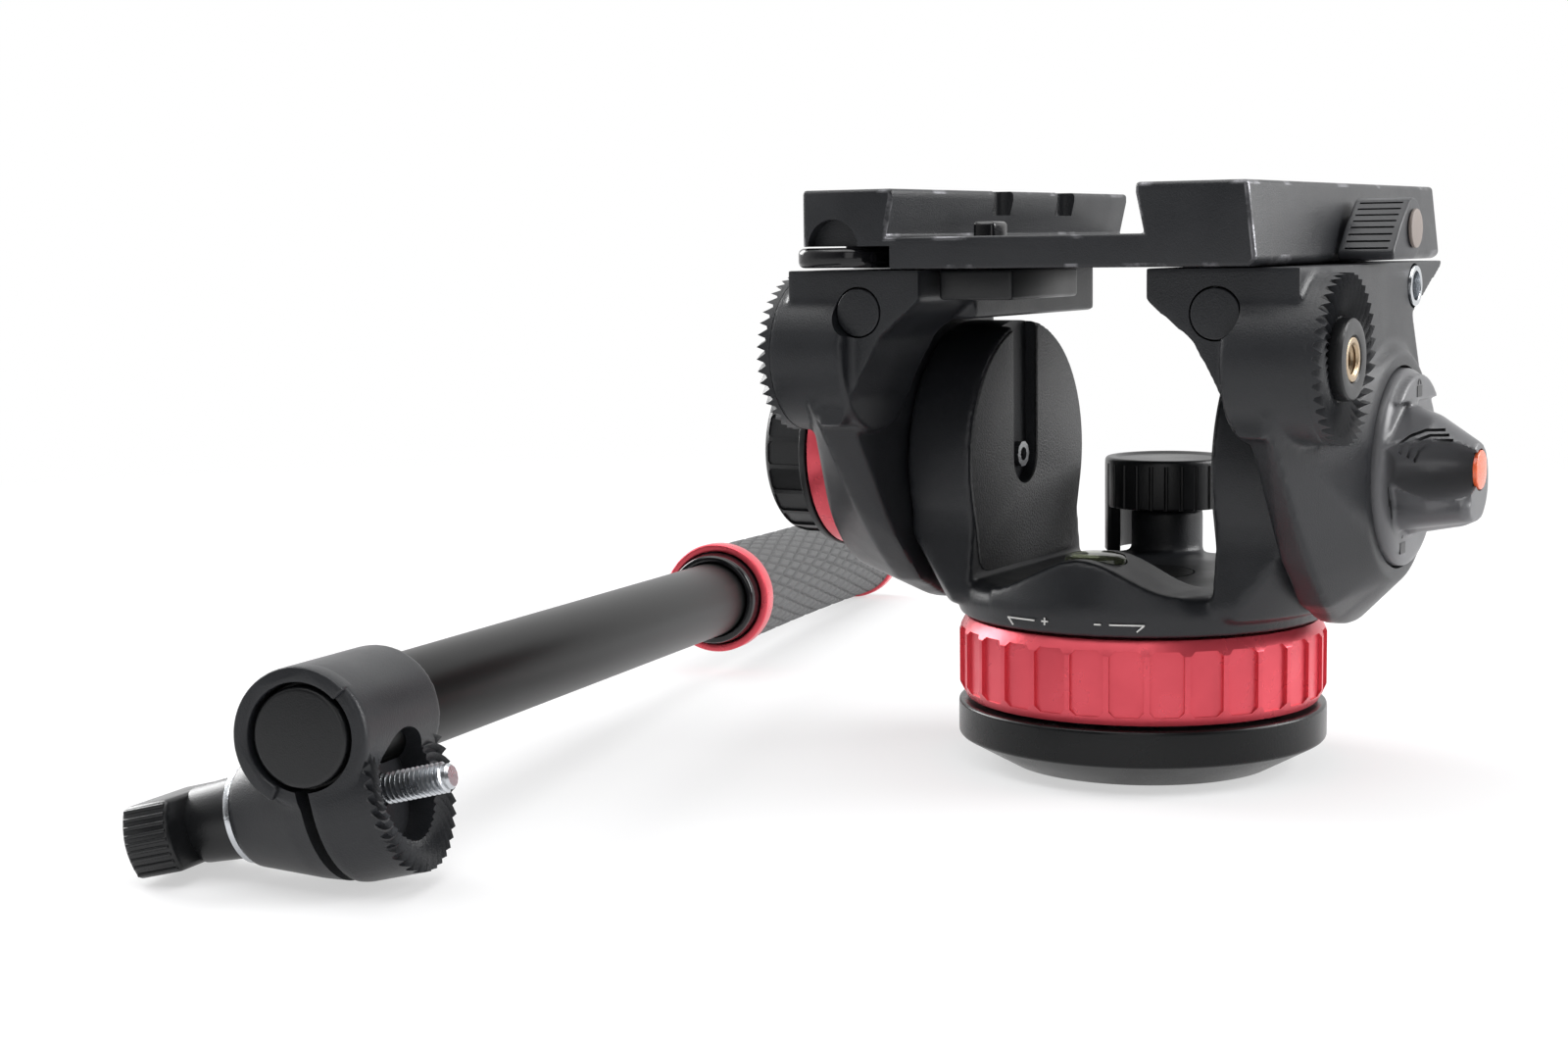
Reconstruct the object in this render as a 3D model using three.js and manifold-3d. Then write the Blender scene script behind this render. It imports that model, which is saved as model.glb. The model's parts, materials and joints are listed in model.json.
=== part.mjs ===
// Fluid video head with its pan bar lying beside it, in millimetres, +Z up.
// The pan axis is the line x = 0, y = 0 while the pieces are made, the tripod's contact face is
// z = 0, the plate channel runs along Y, and the operator stands on the -Y side.

import * as THREE from 'three';
import { mergeVertices } from 'three/addons/utils/BufferGeometryUtils.js';
import Module from 'manifold-3d';

const wasm = await Module();
wasm.setup();

// Clearances and shared small sizes
const seatGap = 0.3; // between pieces that are seated on each other
const runGap = 0.5; // between pieces that turn or slide past each other
const cutOverrun = 4; // how far a cut runs past the face it opens
const mergeDistance = 0.0001;

// How finely round pieces are stepped
const largeSides = 36;
const roundSides = 20;
const smallSides = 10;

// Base that stands on the tripod
const baseRadius = 41.65;
const baseHeight = 14.2;
const baseFootRadius = 30;
const baseChamferHeight = 6.4;
const baseTopEdge = 0.8;
const socketRadius = 7.2;
const socketDepth = 11.8;
const bushingBoreRadius = 4.2;

// Pan axle, its cartridge and its bearing
const axleRadius = 6;
const axleFlangeRadius = 10;
const axleFlangeHeight = 2.6;
const cupClearance = 0.7; // between the housing's skirt and the cup
const cupWall = 2.6;
const cupFloor = 2.4;
const cupHeight = 14;
const rotorThickness = 4;
const rotorHubRadius = 13;
const bearingRadius = 10;
const bearingHeight = 3.4;
const nutRadius = 9.3;
const nutHeight = 2.5;
const nutSides = 12;
const capRadius = 11.8;
const capThickness = 1.6;

// Pan drag ring
const dragRingInset = 0.15; // its face behind the base's rim
const dragRingWall = 5.9;
const dragRingHeight = 18.5;
const dragRingFlats = 30;
const dragGrooveDepth = 0.9;
const dragGrooveShare = 0.16; // of one flat's pitch
const dragRingLift = 0.86; // gap between the base and the ring

// Pan housing: bowl, hump and two uprights
const bowlGap = 0.6; // gap between the ring and the bowl
const bowlHeight = 8.8;
const bowlProud = 0.65; // beyond the base's rim
const bowlFootInset = 1.1;
const bowlTopEdge = 2.6;
const skirtWall = 2;
const skirtDepth = 12;
const uprightInner = 28;
const uprightLip = 1; // of an upright's outer face beyond its cartridge's cover
const uprightHeadRadius = 31;
const tiltAxisRise = 26.04; // from the bowl's top to the tilt axis
const uprightEdge = 3.4;
const coneProud = 0.3; // of the uprights' cone beyond the bowl at its foot
const coneTopRadius = 60;
const coneRise = 33.84; // from the bowl's foot to the cone's top
const humpCentre = 1.7;
const humpHalfWidth = 22;
const humpRise = 7.4;
const humpSetback = 1.5; // from the bowl's rim to the hump's front
const humpDepth = 21.8;
const humpSteps = 14;
const slotFront = -8.4;
const slotBack = 4.4;
const slotDepth = 3;
const slotDrop = 6.6; // from the tilt axis to the slot's end
const slotBoltRadius = 3;
const slotBoltBore = 1.6;
const slotBoltHeight = 1.4;

// Spirit level on the hump
const levelSetback = 12.3; // from the bowl's rim to the vial's middle
const levelDepth = 4.4;
const vialRadius = 6.6;
const vialProud = 0.9;
const vialDomeShare = 0.6; // of the vial's radius, where its dome starts

// Pan lock lever behind the bowl
const panLockX = -9;
const panLockSetback = 4.3; // from the bowl's rim to the lever's axis
const panLockBossRadius = 8.6;
const panLockBossHeight = 10.44; // above the bowl's top
const panLockHubRadius = 15;
const panLockHubHeight = 12;
const panLockSkirtWall = 3;
const panLockSkirtGap = 0.24; // between the bowl and the skirt
const panLockSkirtStart = 140;
const panLockSkirtEnd = 225;
const panLockRibs = 9;
const panLockRibDepth = 0.7;
const panLockSpindleRadius = 3;
const panLockSpindleDepth = 12;

// Tilt cartridge on the left, brake on the right: places are distances from the middle plane
const tiltPocketRadius = 24;
const tiltPocketWall = 2;
const tiltCupWall = 2.6;
const tiltCupFloor = 2;
const tiltCupHeight = 7.4;
const tiltRotorThickness = 2.6;
const tiltShaftRadius = 6;
const tiltShaftLength = 15.4;
const tiltBushRadius = 9;
const tiltCoverThickness = 2;
const springRadius = 18;
const springThickness = 3;

// Arms that hang from the platform
const armGap = 0.6; // between an upright and its arm
const podThickness = 14.9;
const podRadius = 34.4;
const podEdge = 10;
const armTopGap = 0.3;
const flangeInner = 25.4;
const flangeFront = -60;
const flangeBack = 37;
const flangeThickness = 11.1;
const webBack = -33;
const webCorner = 6.5; // depth of the front flange's inner corner under the platform
const webMiddle = [9.5, 14.2]; // and its slanted inner edge: outwards from the corner, and depth
const webLip = [14.3, 22.5];
const webFoot = 33.5;
const neckShoulder = [-45.4, 0]; // front edge of the neck down to the pod's foot, from the tilt axis
const neckWaist = [-34.3, -17];
const neckToe = [-22.2, -28];
const neckFrontDepth = 5.9; // how far out from the arm's inner face the neck's front edge runs
const neckRecess = 12.5; // how far its outer side lies behind that edge
const neckInset = 2.5; // of the neck's outer side behind the pod's
const neckRootShare = 0.86; // of the pod's radius, how far back the neck starts
const neckWaistShare = 0.45; // of the pod's radius, where the neck is narrowest
const neckTopShare = 0.75; // of the pod's radius, where the neck meets the rear flange
const rosetteY = -47;
const rosetteRise = 25.3; // above the tilt axis
const rosetteRadius = 17;
const rosetteProud = 1.7; // beyond the pod's outer face
const rosetteTeeth = 28;
const toothHeight = 1.7;
const toothInnerRadius = 8.6;
const rosetteBossRadius = 7.5;
const rosetteBossProud = 0.6;
const insertRadius = 4.2;
const insertBore = 2.9;
const insertLength = 13;
const plugX = 39.9;
const plugDrop = 8.9; // below the flange's top
const plugRadius = 5.1;
const plugDepth = 3;
const plugProud = 0.3;
const accessoryY = 16;
const accessoryDrop = 5.2; // below the flange's top
const accessoryRadius = 4.4;
const accessoryBore = 3.2;
const accessoryLength = 8;
const accessoryProud = 0.5;
const armScrewX = 36;
const armScrewY = 26;
const armScrewRadius = 1.5;
const armScrewHeadRadius = 3;
const armScrewHeadHeight = 2.8;
const armScrewLength = 13;

// Platform with the plate channel
const platformRise = 43.8; // from the tilt axis to the platform
const platformThickness = 16.6;
const platformFront = -65.6;
const platformBack = 59.4;
const platformLeft = -50.1;
const platformRight = 50.2;
const platformRightTop = 48.4;
const channelLeft = -28.6;
const channelRight = 25.3;
const channelDepth = 10;
const channelLip = 2;
const dovetailUndercut = 1.8;
const platformEdge = 1.2;
const notchLength = 11;
const notchDepth = 4;
const notchHeight = 5.4;
const notchFirstY = -12;
const notchPitch = 34;

// Release tab, safety catch and plate clamp
const tabLeft = -53.2;
const tabRight = -35.4;
const tabFront = -66.4;
const tabBack = -47;
const tabThickness = 4.2;
const tabTravel = 3;
const tabCorner = 6;
const springCoilRadius = 1.8;
const springPressedLength = 3.2;
const catchX = -14.5;
const catchY = -48;
const catchWidth = 5;
const catchLength = 7;
const catchTravel = 2.6;
const catchProud = 3;
const catchHousingDepth = 6.4;
const catchHousingWidth = 17;
const catchHousingLength = 26;
const catchHousingWall = 2;
const jawTravel = 2;
const jawLength = 32;
const jawHeight = 6;
const jawDepth = 5.4;
const jawProud = 1.8;
const plateLeverY = -4.3;
const plateLeverRise = 0.3; // above the channel's floor
const plateLeverHubRadius = 6.4;
const plateLeverWidth = 11.8;
const plateLeverReach = 26;
const plateLeverTipHeight = 8;
const plateLeverRibs = 7;
const plateLeverRibDepth = 0.7;
const plateLeverSpindle = 2.6;
const plateLeverCapRadius = 4.6;
const plateLeverCapProud = 0.6;

// Tilt drag knob on the left and tilt lock dial on the right
const knobCollarRadius = 28.5;
const knobCollarHeight = 7.5;
const bandRadius = 23.2;
const bandWidth = 7.4;
const knobRimRadius = 23.6;
const knobRimWidth = 1.8;
const knobRadius = 20.8;
const knobWidth = 13.4;
const knobSpindleDepth = 5; // in the arm
const knobPanels = 20;
const knobGrooveDepth = 0.8;
const knobBore = 4;
const knobSpindleRadius = 3.4;
const dialRadius = 21.2;
const dialThickness = 5.6;
const dialRecessDepth = 2;
const dialSpindleRadius = 3;
const dialSpindleLength = 5;
const handleReach = 19.5; // beyond the pod's outer face
const handleFront = -21.5;
const handleBack = 9;
const handleRise = 10.5; // above the tilt axis
const handleDrop = 8; // below it
const handleEndBack = -8.5;
const badgeRadius = 4.6;
const badgeThickness = 0.9;

// Pan bar, laid on the ground beside the head
const barX = -86.5;
const barY = -186.1;
const barAzimuth = 14.2; // degrees from +Y towards -X
const barDrop = 2.3; // degrees down towards the grip
const clampRoll = 13; // degrees that the clamp leans about the bar
const barRadius = 10;
const barWall = 1.4;
const barPlugDepth = 9;
const barGripStart = 241;
const gripLength = 152;
const gripRadius = 14.1;
const gripWaist = 0.5;
const ringRadius = 15;
const ringWidth = 6;
const barCollarRadius = 12.6;
const barCollarLength = 9;
const gripCapRadius = 13.4;
const gripCapLength = 4;
const clampWall = 4.2;
const clampLength = 33;
const clampFrontProud = 0.6;
const clampScrewDrop = 13.6; // from the bar's axis to the screw's
const clampScrewSetback = 17; // from the bar's end to the screw
const clampRosetteReach = 12;
const clampRosetteRadius = 16.6;
const clampKnobReach = 22;
const clampKnobSideRadius = 10;
const clampSlitWidth = 2.6;
const clampSlitOffset = 1;
const clampRecessDepth = 7;
const clampRecessRadius = 10.6;
const clampScrewRadius = 3;
const clampScrewProud = 8;
const clampThreads = 8;
const threadDepth = 0.35;
const washerRadius = 8;
const washerThickness = 1.4;
const knobNeckRadius = 7.6;
const knobNeckLength = 9;
const wingThickness = 10;
const wingReach = 14;
const wingHalfHeight = 6.8;
const wingRibs = 8;
const wingRibDepth = 0.6;

// Finishes
const paint = { color: 0x2a2c2f, roughness: 0.55, metalness: 0.25 };
const blackPlastic = { color: 0x151618, roughness: 0.5, metalness: 0 };
const redAnodised = { color: 0xc22a3c, roughness: 0.32, metalness: 0.85 };
const steel = { color: 0xb9bcbf, roughness: 0.3, metalness: 0.95 };
const brass = { color: 0xa98d5c, roughness: 0.4, metalness: 0.9 };
const greaseMetal = { color: 0x8d9094, roughness: 0.45, metalness: 0.8 };
const rubber = { color: 0x2c2d2e, roughness: 0.85, metalness: 0 };
const glossBlack = { color: 0x0c0c0d, roughness: 0.15, metalness: 0.1 };
const vialGlass = { color: 0xcfd8a0, roughness: 0.08, metalness: 0 };
const orangeRed = { color: 0xd9432a, roughness: 0.35, metalness: 0.1 };

const degree = Math.PI / 180;

// A closed solid from a geometry, with shared corners merged and its faces pointing out.
function solid(geometry) {
  const plain = geometry.clone();
  plain.deleteAttribute('normal');
  plain.deleteAttribute('uv');
  const merged = mergeVertices(plain, mergeDistance);
  const spots = merged.getAttribute('position').array;
  const corners = merged.index.array;
  const faces = [];
  let volume = 0;
  const a = new THREE.Vector3();
  const b = new THREE.Vector3();
  const c = new THREE.Vector3();
  for (let i = 0; i < corners.length; i += 3) {
    const [p, q, r] = [corners[i], corners[i + 1], corners[i + 2]];
    if (p === q || q === r || r === p) continue;
    faces.push([p, q, r]);
    a.fromArray(spots, p * 3);
    b.fromArray(spots, q * 3);
    c.fromArray(spots, r * 3);
    volume += a.dot(b.cross(c));
  }
  const triVerts = new Uint32Array(faces.flatMap(([p, q, r]) => (volume > 0 ? [p, q, r] : [p, r, q])));
  return new wasm.Manifold(new wasm.Mesh({ numProp: 3, vertProperties: new Float32Array(spots), triVerts }));
}

// The geometry of a solid, with flat-shaded faces.
function geometryOf(body) {
  const { numProp, vertProperties, triVerts } = body.getMesh();
  const spots = new Float32Array((vertProperties.length / numProp) * 3);
  for (let i = 0; i < spots.length / 3; i += 1) {
    spots.set(vertProperties.subarray(i * numProp, i * numProp + 3), i * 3);
  }
  const geometry = new THREE.BufferGeometry();
  geometry.setAttribute('position', new THREE.BufferAttribute(spots, 3));
  geometry.setIndex(new THREE.BufferAttribute(new Uint32Array(triVerts), 1));
  geometry.computeVertexNormals();
  return geometry;
}

// The solid seen in the middle plane's mirror, for what is alike on the left and on the right.
function mirrored(body) {
  return solid(geometryOf(body).applyMatrix4(new THREE.Matrix4().makeScale(-1, 1, 1)));
}

// Prisms: an outline in two directions, run from one place to another along the third.
function prism(points, depth) {
  const outline = new THREE.Shape(points.map(([u, v]) => new THREE.Vector2(u, v)));
  return new THREE.ExtrudeGeometry(outline, { depth, bevelEnabled: false, steps: 1 });
}

function prismX(pointsYZ, x0, x1) {
  const axes = new THREE.Matrix4().makeBasis(
    new THREE.Vector3(0, 1, 0), new THREE.Vector3(0, 0, 1), new THREE.Vector3(1, 0, 0));
  return solid(prism(pointsYZ, x1 - x0).applyMatrix4(axes).translate(x0, 0, 0));
}

// A solid between two outlines of as many points, one on each of two planes across X.
function loftX(startYZ, x0, endYZ, x1) {
  const count = startYZ.length;
  const caps = THREE.ShapeUtils.triangulateShape(startYZ.map(([y, z]) => new THREE.Vector2(y, z)), []);
  const spots = [...startYZ.map((point) => [x0, ...point]), ...endYZ.map((point) => [x1, ...point])];
  const faces = caps.flatMap(([a, b, c]) => [a, c, b, a + count, b + count, c + count]);
  for (let i = 0; i < count; i += 1) {
    const next = (i + 1) % count;
    faces.push(i, next, next + count, i, next + count, i + count);
  }
  const sides = new THREE.BufferGeometry();
  sides.setAttribute('position', new THREE.BufferAttribute(new Float32Array(spots.flat()), 3));
  sides.setIndex(faces);
  return solid(sides);
}

function prismY(pointsXZ, y0, y1) {
  const axes = new THREE.Matrix4().makeBasis(
    new THREE.Vector3(1, 0, 0), new THREE.Vector3(0, 0, 1), new THREE.Vector3(0, -1, 0));
  return solid(prism(pointsXZ, y1 - y0).applyMatrix4(axes).translate(0, y1, 0));
}

function prismZ(pointsXY, z0, z1) {
  return solid(prism(pointsXY, z1 - z0).translate(0, 0, z0));
}

function box(x0, x1, y0, y1, z0, z1) {
  const block = new THREE.BoxGeometry(x1 - x0, y1 - y0, z1 - z0);
  return solid(block.translate((x0 + x1) / 2, (y0 + y1) / 2, (z0 + z1) / 2));
}

// Turned pieces: a profile of radius and height, turned about Z, X or Y through a centre.
function turned(profile, sides) {
  const points = profile.map(([radius, height]) => new THREE.Vector2(radius, height));
  return new THREE.LatheGeometry([...points, points[0].clone()], sides).rotateX(Math.PI / 2);
}

function turnedZ(profile, x, y, sides = roundSides) {
  return solid(turned(profile, sides).translate(x, y, 0));
}

function turnedX(profile, y, z, sides = roundSides) {
  return solid(turned(profile, sides).rotateY(Math.PI / 2).translate(0, y, z));
}

function turnedY(profile, x, z, sides = roundSides) {
  return solid(turned(profile, sides).rotateX(-Math.PI / 2).translate(x, 0, z));
}

// Profiles of a plain cylinder, of a ring and of a cylinder with its two rims chamfered.
function plain(radius, from, to) {
  return [[0, from], [radius, from], [radius, to], [0, to]];
}

function ring(inner, outer, from, to) {
  return [[inner, from], [outer, from], [outer, to], [inner, to]];
}

function chamfered(radius, from, to, edge) {
  return [[0, from], [radius - edge, from], [radius, from + edge], [radius, to - edge],
    [radius - edge, to], [0, to]];
}

// Points along an arc, angles in degrees.
function arc(u, v, radius, from, to, steps) {
  return Array.from({ length: steps + 1 }, (_, i) => {
    const angle = (from + ((to - from) * i) / steps) * degree;
    return [u + radius * Math.cos(angle), v + radius * Math.sin(angle)];
  });
}

// Outline of a round grip with shallow grooves spaced evenly round it.
function fluted(radius, grooves, depth, share) {
  return Array.from({ length: grooves }, (_, i) => {
    const pitch = 360 / grooves;
    const at = (fraction, r) => arc(0, 0, r, (i + fraction) * pitch, (i + fraction) * pitch, 1)[0];
    return [at(share, radius), at(1 - share, radius), at(1, radius - depth)];
  }).flat();
}

// A crown of radial teeth standing on a plane, about Z, from its back to the tips.
function toothedCrown(inner, outer, teeth, back, root, tip) {
  const steps = teeth * 2;
  const spots = [];
  for (let i = 0; i < steps; i += 1) {
    const angle = (i * Math.PI * 2) / steps;
    const height = i % 2 === 0 ? tip : root;
    const put = (radius, z) => spots.push(radius * Math.cos(angle), radius * Math.sin(angle), z);
    put(inner, back);
    put(outer, back);
    put(outer, height);
    put(inner, root + (height - root) * (inner / outer));
  }
  const faces = [];
  for (let i = 0; i < steps; i += 1) {
    const here = i * 4;
    const next = ((i + 1) % steps) * 4;
    for (let k = 0; k < 4; k += 1) {
      const up = (k + 1) % 4;
      faces.push(here + k, next + k, next + up, here + k, next + up, here + up);
    }
  }
  const crown = new THREE.BufferGeometry();
  crown.setAttribute('position', new THREE.BufferAttribute(new Float32Array(spots), 3));
  crown.setIndex(faces);
  return crown;
}

function joined(...bodies) {
  return bodies.reduce((whole, body) => whole.add(body));
}

function cut(body, ...tools) {
  return tools.reduce((whole, tool) => whole.subtract(tool), body);
}

function add(group, name, body, finish) {
  const mesh = new THREE.Mesh(geometryOf(body), new THREE.MeshStandardMaterial(finish));
  mesh.name = name;
  group.add(mesh);
}

// Heights that follow from the sizes above
const ringBottom = baseHeight + dragRingLift;
const ringTop = ringBottom + dragRingHeight;
const bowlBottom = ringTop + bowlGap;
const bowlTop = bowlBottom + bowlHeight;
const tiltAxisHeight = bowlTop + tiltAxisRise;
const cupBottom = baseHeight + seatGap;
const axleTop = bowlTop - capThickness - seatGap * 2;
const bearingBottom = bowlBottom + seatGap;
const nutBottom = bearingBottom + bearingHeight + seatGap;
const platformBottom = tiltAxisHeight + platformRise;
const platformTop = platformBottom + platformThickness;
const channelFloor = platformTop - channelDepth;
const plateLeverZ = channelFloor + plateLeverRise;
const flangeTop = platformBottom - armTopGap;
const flangeLowest = flangeTop - flangeThickness;
const rosetteZ = tiltAxisHeight + rosetteRise;
const plugZ = flangeTop - plugDrop;
const accessoryZ = flangeTop - accessoryDrop;
const handleTop = tiltAxisHeight + handleRise;
const handleBottom = tiltAxisHeight - handleDrop;
const panLockBossTop = bowlTop + panLockBossHeight;
const panLockHubBottom = panLockBossTop + seatGap * 2;
const panLockHubTop = panLockHubBottom + panLockHubHeight;

// Places along X and Y that follow from them
const tiltPocketFloor = uprightInner + slotDepth + tiltPocketWall;
const tiltCoverInner = tiltPocketFloor + tiltCupHeight + seatGap * 2;
const uprightOuter = tiltCoverInner + tiltCoverThickness + uprightLip;
const armInner = uprightOuter + armGap;
const armOuter = armInner + podThickness;
const neckFront = armInner + neckFrontDepth;
const neckOuter = armOuter - neckInset;
const knobCollarOuter = armOuter + knobCollarHeight;
const rosetteFace = armOuter + rosetteProud;
const handleOuter = armOuter + handleReach;
const dragRingRadius = baseRadius - dragRingInset;
const dragRingInnerRadius = dragRingRadius - dragRingWall;
const skirtOuter = dragRingInnerRadius - runGap;
const cupRadius = skirtOuter - skirtWall - cupClearance;
const bowlRadius = baseRadius + bowlProud;
const bowlFootRadius = bowlRadius - bowlFootInset;
const coneBottomRadius = bowlRadius + coneProud;
const panLockY = bowlRadius - panLockSetback;
const levelY = levelSetback - bowlRadius;
const humpFront = humpSetback - bowlRadius;
const humpBack = humpFront + humpDepth;

// Base: the foot, its threaded bushing, the axle and the cup of the pan cartridge.
function makeBase(group) {
  const foot = turnedZ([[0, socketDepth], [socketRadius, socketDepth], [socketRadius, 0],
    [baseFootRadius, 0], [baseRadius, baseChamferHeight], [baseRadius, baseHeight - baseTopEdge],
    [baseRadius - baseTopEdge, baseHeight], [0, baseHeight]], 0, 0, largeSides);
  add(group, 'base_plate', foot, blackPlastic);
  add(group, 'tripod_thread_bushing', turnedZ(
    ring(bushingBoreRadius, socketRadius - seatGap, seatGap, socketDepth - seatGap), 0, 0), brass);

  const shoulder = cupBottom + axleFlangeHeight;
  add(group, 'pan_axle', turnedZ([[0, cupBottom], [axleFlangeRadius, cupBottom],
    [axleFlangeRadius, shoulder], [axleRadius, shoulder], [axleRadius, axleTop], [0, axleTop]],
  0, 0), greaseMetal);

  const cup = turnedZ([[axleFlangeRadius + seatGap, cupBottom], [cupRadius, cupBottom],
    [cupRadius, cupBottom + cupHeight], [cupRadius - cupWall, cupBottom + cupHeight],
    [cupRadius - cupWall, cupBottom + cupFloor], [axleFlangeRadius + seatGap, cupBottom + cupFloor]],
  0, 0);
  add(group, 'pan_cartridge_cup', cup, greaseMetal);

  add(group, 'pan_axle_nut', turnedZ(
    ring(axleRadius + seatGap, nutRadius, nutBottom, nutBottom + nutHeight), 0, 0, nutSides), steel);
}

// Ring that sets the pan drag: gripped by flats with grooves between them.
function makeDragRing(group) {
  const outline = fluted(dragRingRadius, dragRingFlats, dragGrooveDepth, dragGrooveShare);
  const body = cut(prismZ(outline, ringBottom, ringTop),
    turnedZ(plain(dragRingInnerRadius, ringBottom - cutOverrun, ringTop + cutOverrun), 0, 0, largeSides));
  add(group, 'pan_drag_ring', body, redAnodised);
}

// One upright of the yoke, on the +X side: a plate with a round head, rounded off by the bowl's cone.
function uprightPlate() {
  const shoulder = uprightHeadRadius;
  const outline = [...arc(0, tiltAxisHeight, uprightHeadRadius, 0, 180, 24),
    [-shoulder, bowlBottom], [shoulder, bowlBottom]];
  const plate = prismX(outline, uprightInner, uprightOuter);
  const cone = turnedZ([[0, bowlBottom], [coneBottomRadius, bowlBottom],
    [coneTopRadius, bowlBottom + coneRise], [coneTopRadius, tiltAxisHeight * 2], [0, tiltAxisHeight * 2]],
  0, 0, largeSides);
  const head = turnedX([[0, 0], [uprightHeadRadius + cutOverrun, 0],
    [uprightHeadRadius + cutOverrun, uprightOuter - uprightEdge - cutOverrun],
    [uprightHeadRadius - uprightEdge, uprightOuter], [0, uprightOuter]], 0, tiltAxisHeight, largeSides);
  const foot = box(0, uprightOuter, -coneTopRadius, coneTopRadius, 0, tiltAxisHeight - uprightHeadRadius / 3);
  return plate.intersect(cone).intersect(joined(head, foot));
}

// Wave-shaped hump at the front of the bowl that carries the spirit level.
function hump() {
  const crest = Array.from({ length: humpSteps + 1 }, (_, i) => {
    const share = (i / humpSteps) * 2 - 1;
    return [humpCentre + share * humpHalfWidth, bowlTop + (humpRise / 2) * (1 + Math.cos(share * Math.PI))];
  });
  const wave = prismY([...crest.reverse(), [humpCentre - humpHalfWidth, bowlBottom + bowlTopEdge],
    [humpCentre + humpHalfWidth, bowlBottom + bowlTopEdge]], humpFront - bowlTopEdge, humpBack);
  const round = turnedZ([[0, bowlBottom], [bowlRadius, bowlBottom], [bowlRadius, bowlTop - bowlTopEdge],
    [bowlRadius - bowlTopEdge, bowlTop + humpRise], [0, bowlTop + humpRise * 2]], 0, 0, largeSides);
  return wave.intersect(round);
}

// Pan housing: the bowl that turns on the base, the two uprights and what is set into them.
function makePanHousing(group) {
  const bore = bearingRadius + seatGap;
  const bowl = turnedZ([[bore, bowlBottom], [skirtOuter - skirtWall, bowlBottom],
    [skirtOuter - skirtWall, bowlBottom - skirtDepth], [skirtOuter, bowlBottom - skirtDepth],
    [skirtOuter, bowlBottom], [bowlFootRadius, bowlBottom], [bowlRadius, bowlBottom + bowlHeight / 2],
    [bowlRadius - bowlTopEdge / 4, bowlTop - bowlTopEdge / 2], [bowlRadius - bowlTopEdge, bowlTop],
    [bore, bowlTop]], 0, 0, largeSides);
  const boss = turnedZ(plain(panLockBossRadius, bowlBottom + bowlTopEdge, panLockBossTop),
    panLockX, panLockY);
  const upright = uprightPlate();
  const pocket = turnedX(plain(tiltPocketRadius, tiltPocketFloor, uprightOuter + cutOverrun), 0,
    tiltAxisHeight, roundSides);
  const spindleBottom = panLockBossTop - panLockSpindleDepth - seatGap;
  const slotMiddle = (slotFront + slotBack) / 2;
  const slotHalf = (slotBack - slotFront) / 2;
  const slotOutline = [...arc(slotMiddle, tiltAxisHeight - slotDrop + slotHalf, slotHalf, 180, 360, 10),
    [slotBack, tiltAxisHeight * 2], [slotFront, tiltAxisHeight * 2]];
  const whole = cut(joined(bowl, hump(), boss, upright, mirrored(upright)),
    pocket, mirrored(pocket),
    prismX(slotOutline, -uprightInner - slotDepth, -uprightInner + cutOverrun),
    turnedZ(plain(capRadius + seatGap, bowlTop - capThickness - seatGap, bowlTop + cutOverrun), 0, 0),
    turnedZ(plain(vialRadius + seatGap, bowlTop + humpRise - levelDepth, bowlTop + humpRise + cutOverrun),
      humpCentre, levelY),
    turnedZ(plain(panLockSpindleRadius + seatGap, spindleBottom, panLockBossTop + cutOverrun),
      panLockX, panLockY, smallSides));
  add(group, 'pan_housing', whole, paint);

  add(group, 'pan_bearing', turnedZ(
    ring(axleRadius + seatGap, bearingRadius, bearingBottom, bearingBottom + bearingHeight), 0, 0), steel);
  add(group, 'pan_axle_cap', turnedZ(plain(capRadius, bowlTop - capThickness, bowlTop), 0, 0),
    blackPlastic);

  const rotorBottom = cupBottom + axleFlangeHeight + runGap;
  const rotorTop = rotorBottom + rotorThickness;
  const rotorRadius = cupRadius - cupWall - runGap;
  add(group, 'pan_rotor', turnedZ([[axleRadius + runGap, rotorBottom], [rotorRadius, rotorBottom],
    [rotorRadius, rotorTop], [rotorHubRadius, rotorTop], [rotorHubRadius, bowlBottom - seatGap],
    [axleRadius + runGap, bowlBottom - seatGap]], 0, 0), greaseMetal);

  const levelBottom = bowlTop + humpRise - levelDepth + seatGap;
  const levelTop = bowlTop + humpRise;
  const vialDome = vialRadius * vialDomeShare;
  add(group, 'level_vial', turnedZ([[0, levelBottom], [vialRadius, levelBottom], [vialRadius, levelTop],
    [vialDome, levelTop + vialProud], [0, levelTop + vialProud]], humpCentre, levelY), vialGlass);

  const boltY = slotMiddle + slotHalf / 4;
  const boltInner = -uprightInner - slotDepth + seatGap;
  add(group, 'slot_bolt', turnedX(
    ring(slotBoltBore, slotBoltRadius, boltInner, boltInner + slotBoltHeight),
    boltY, tiltAxisHeight, smallSides), steel);
  makeTiltInsides(group);
}

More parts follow.
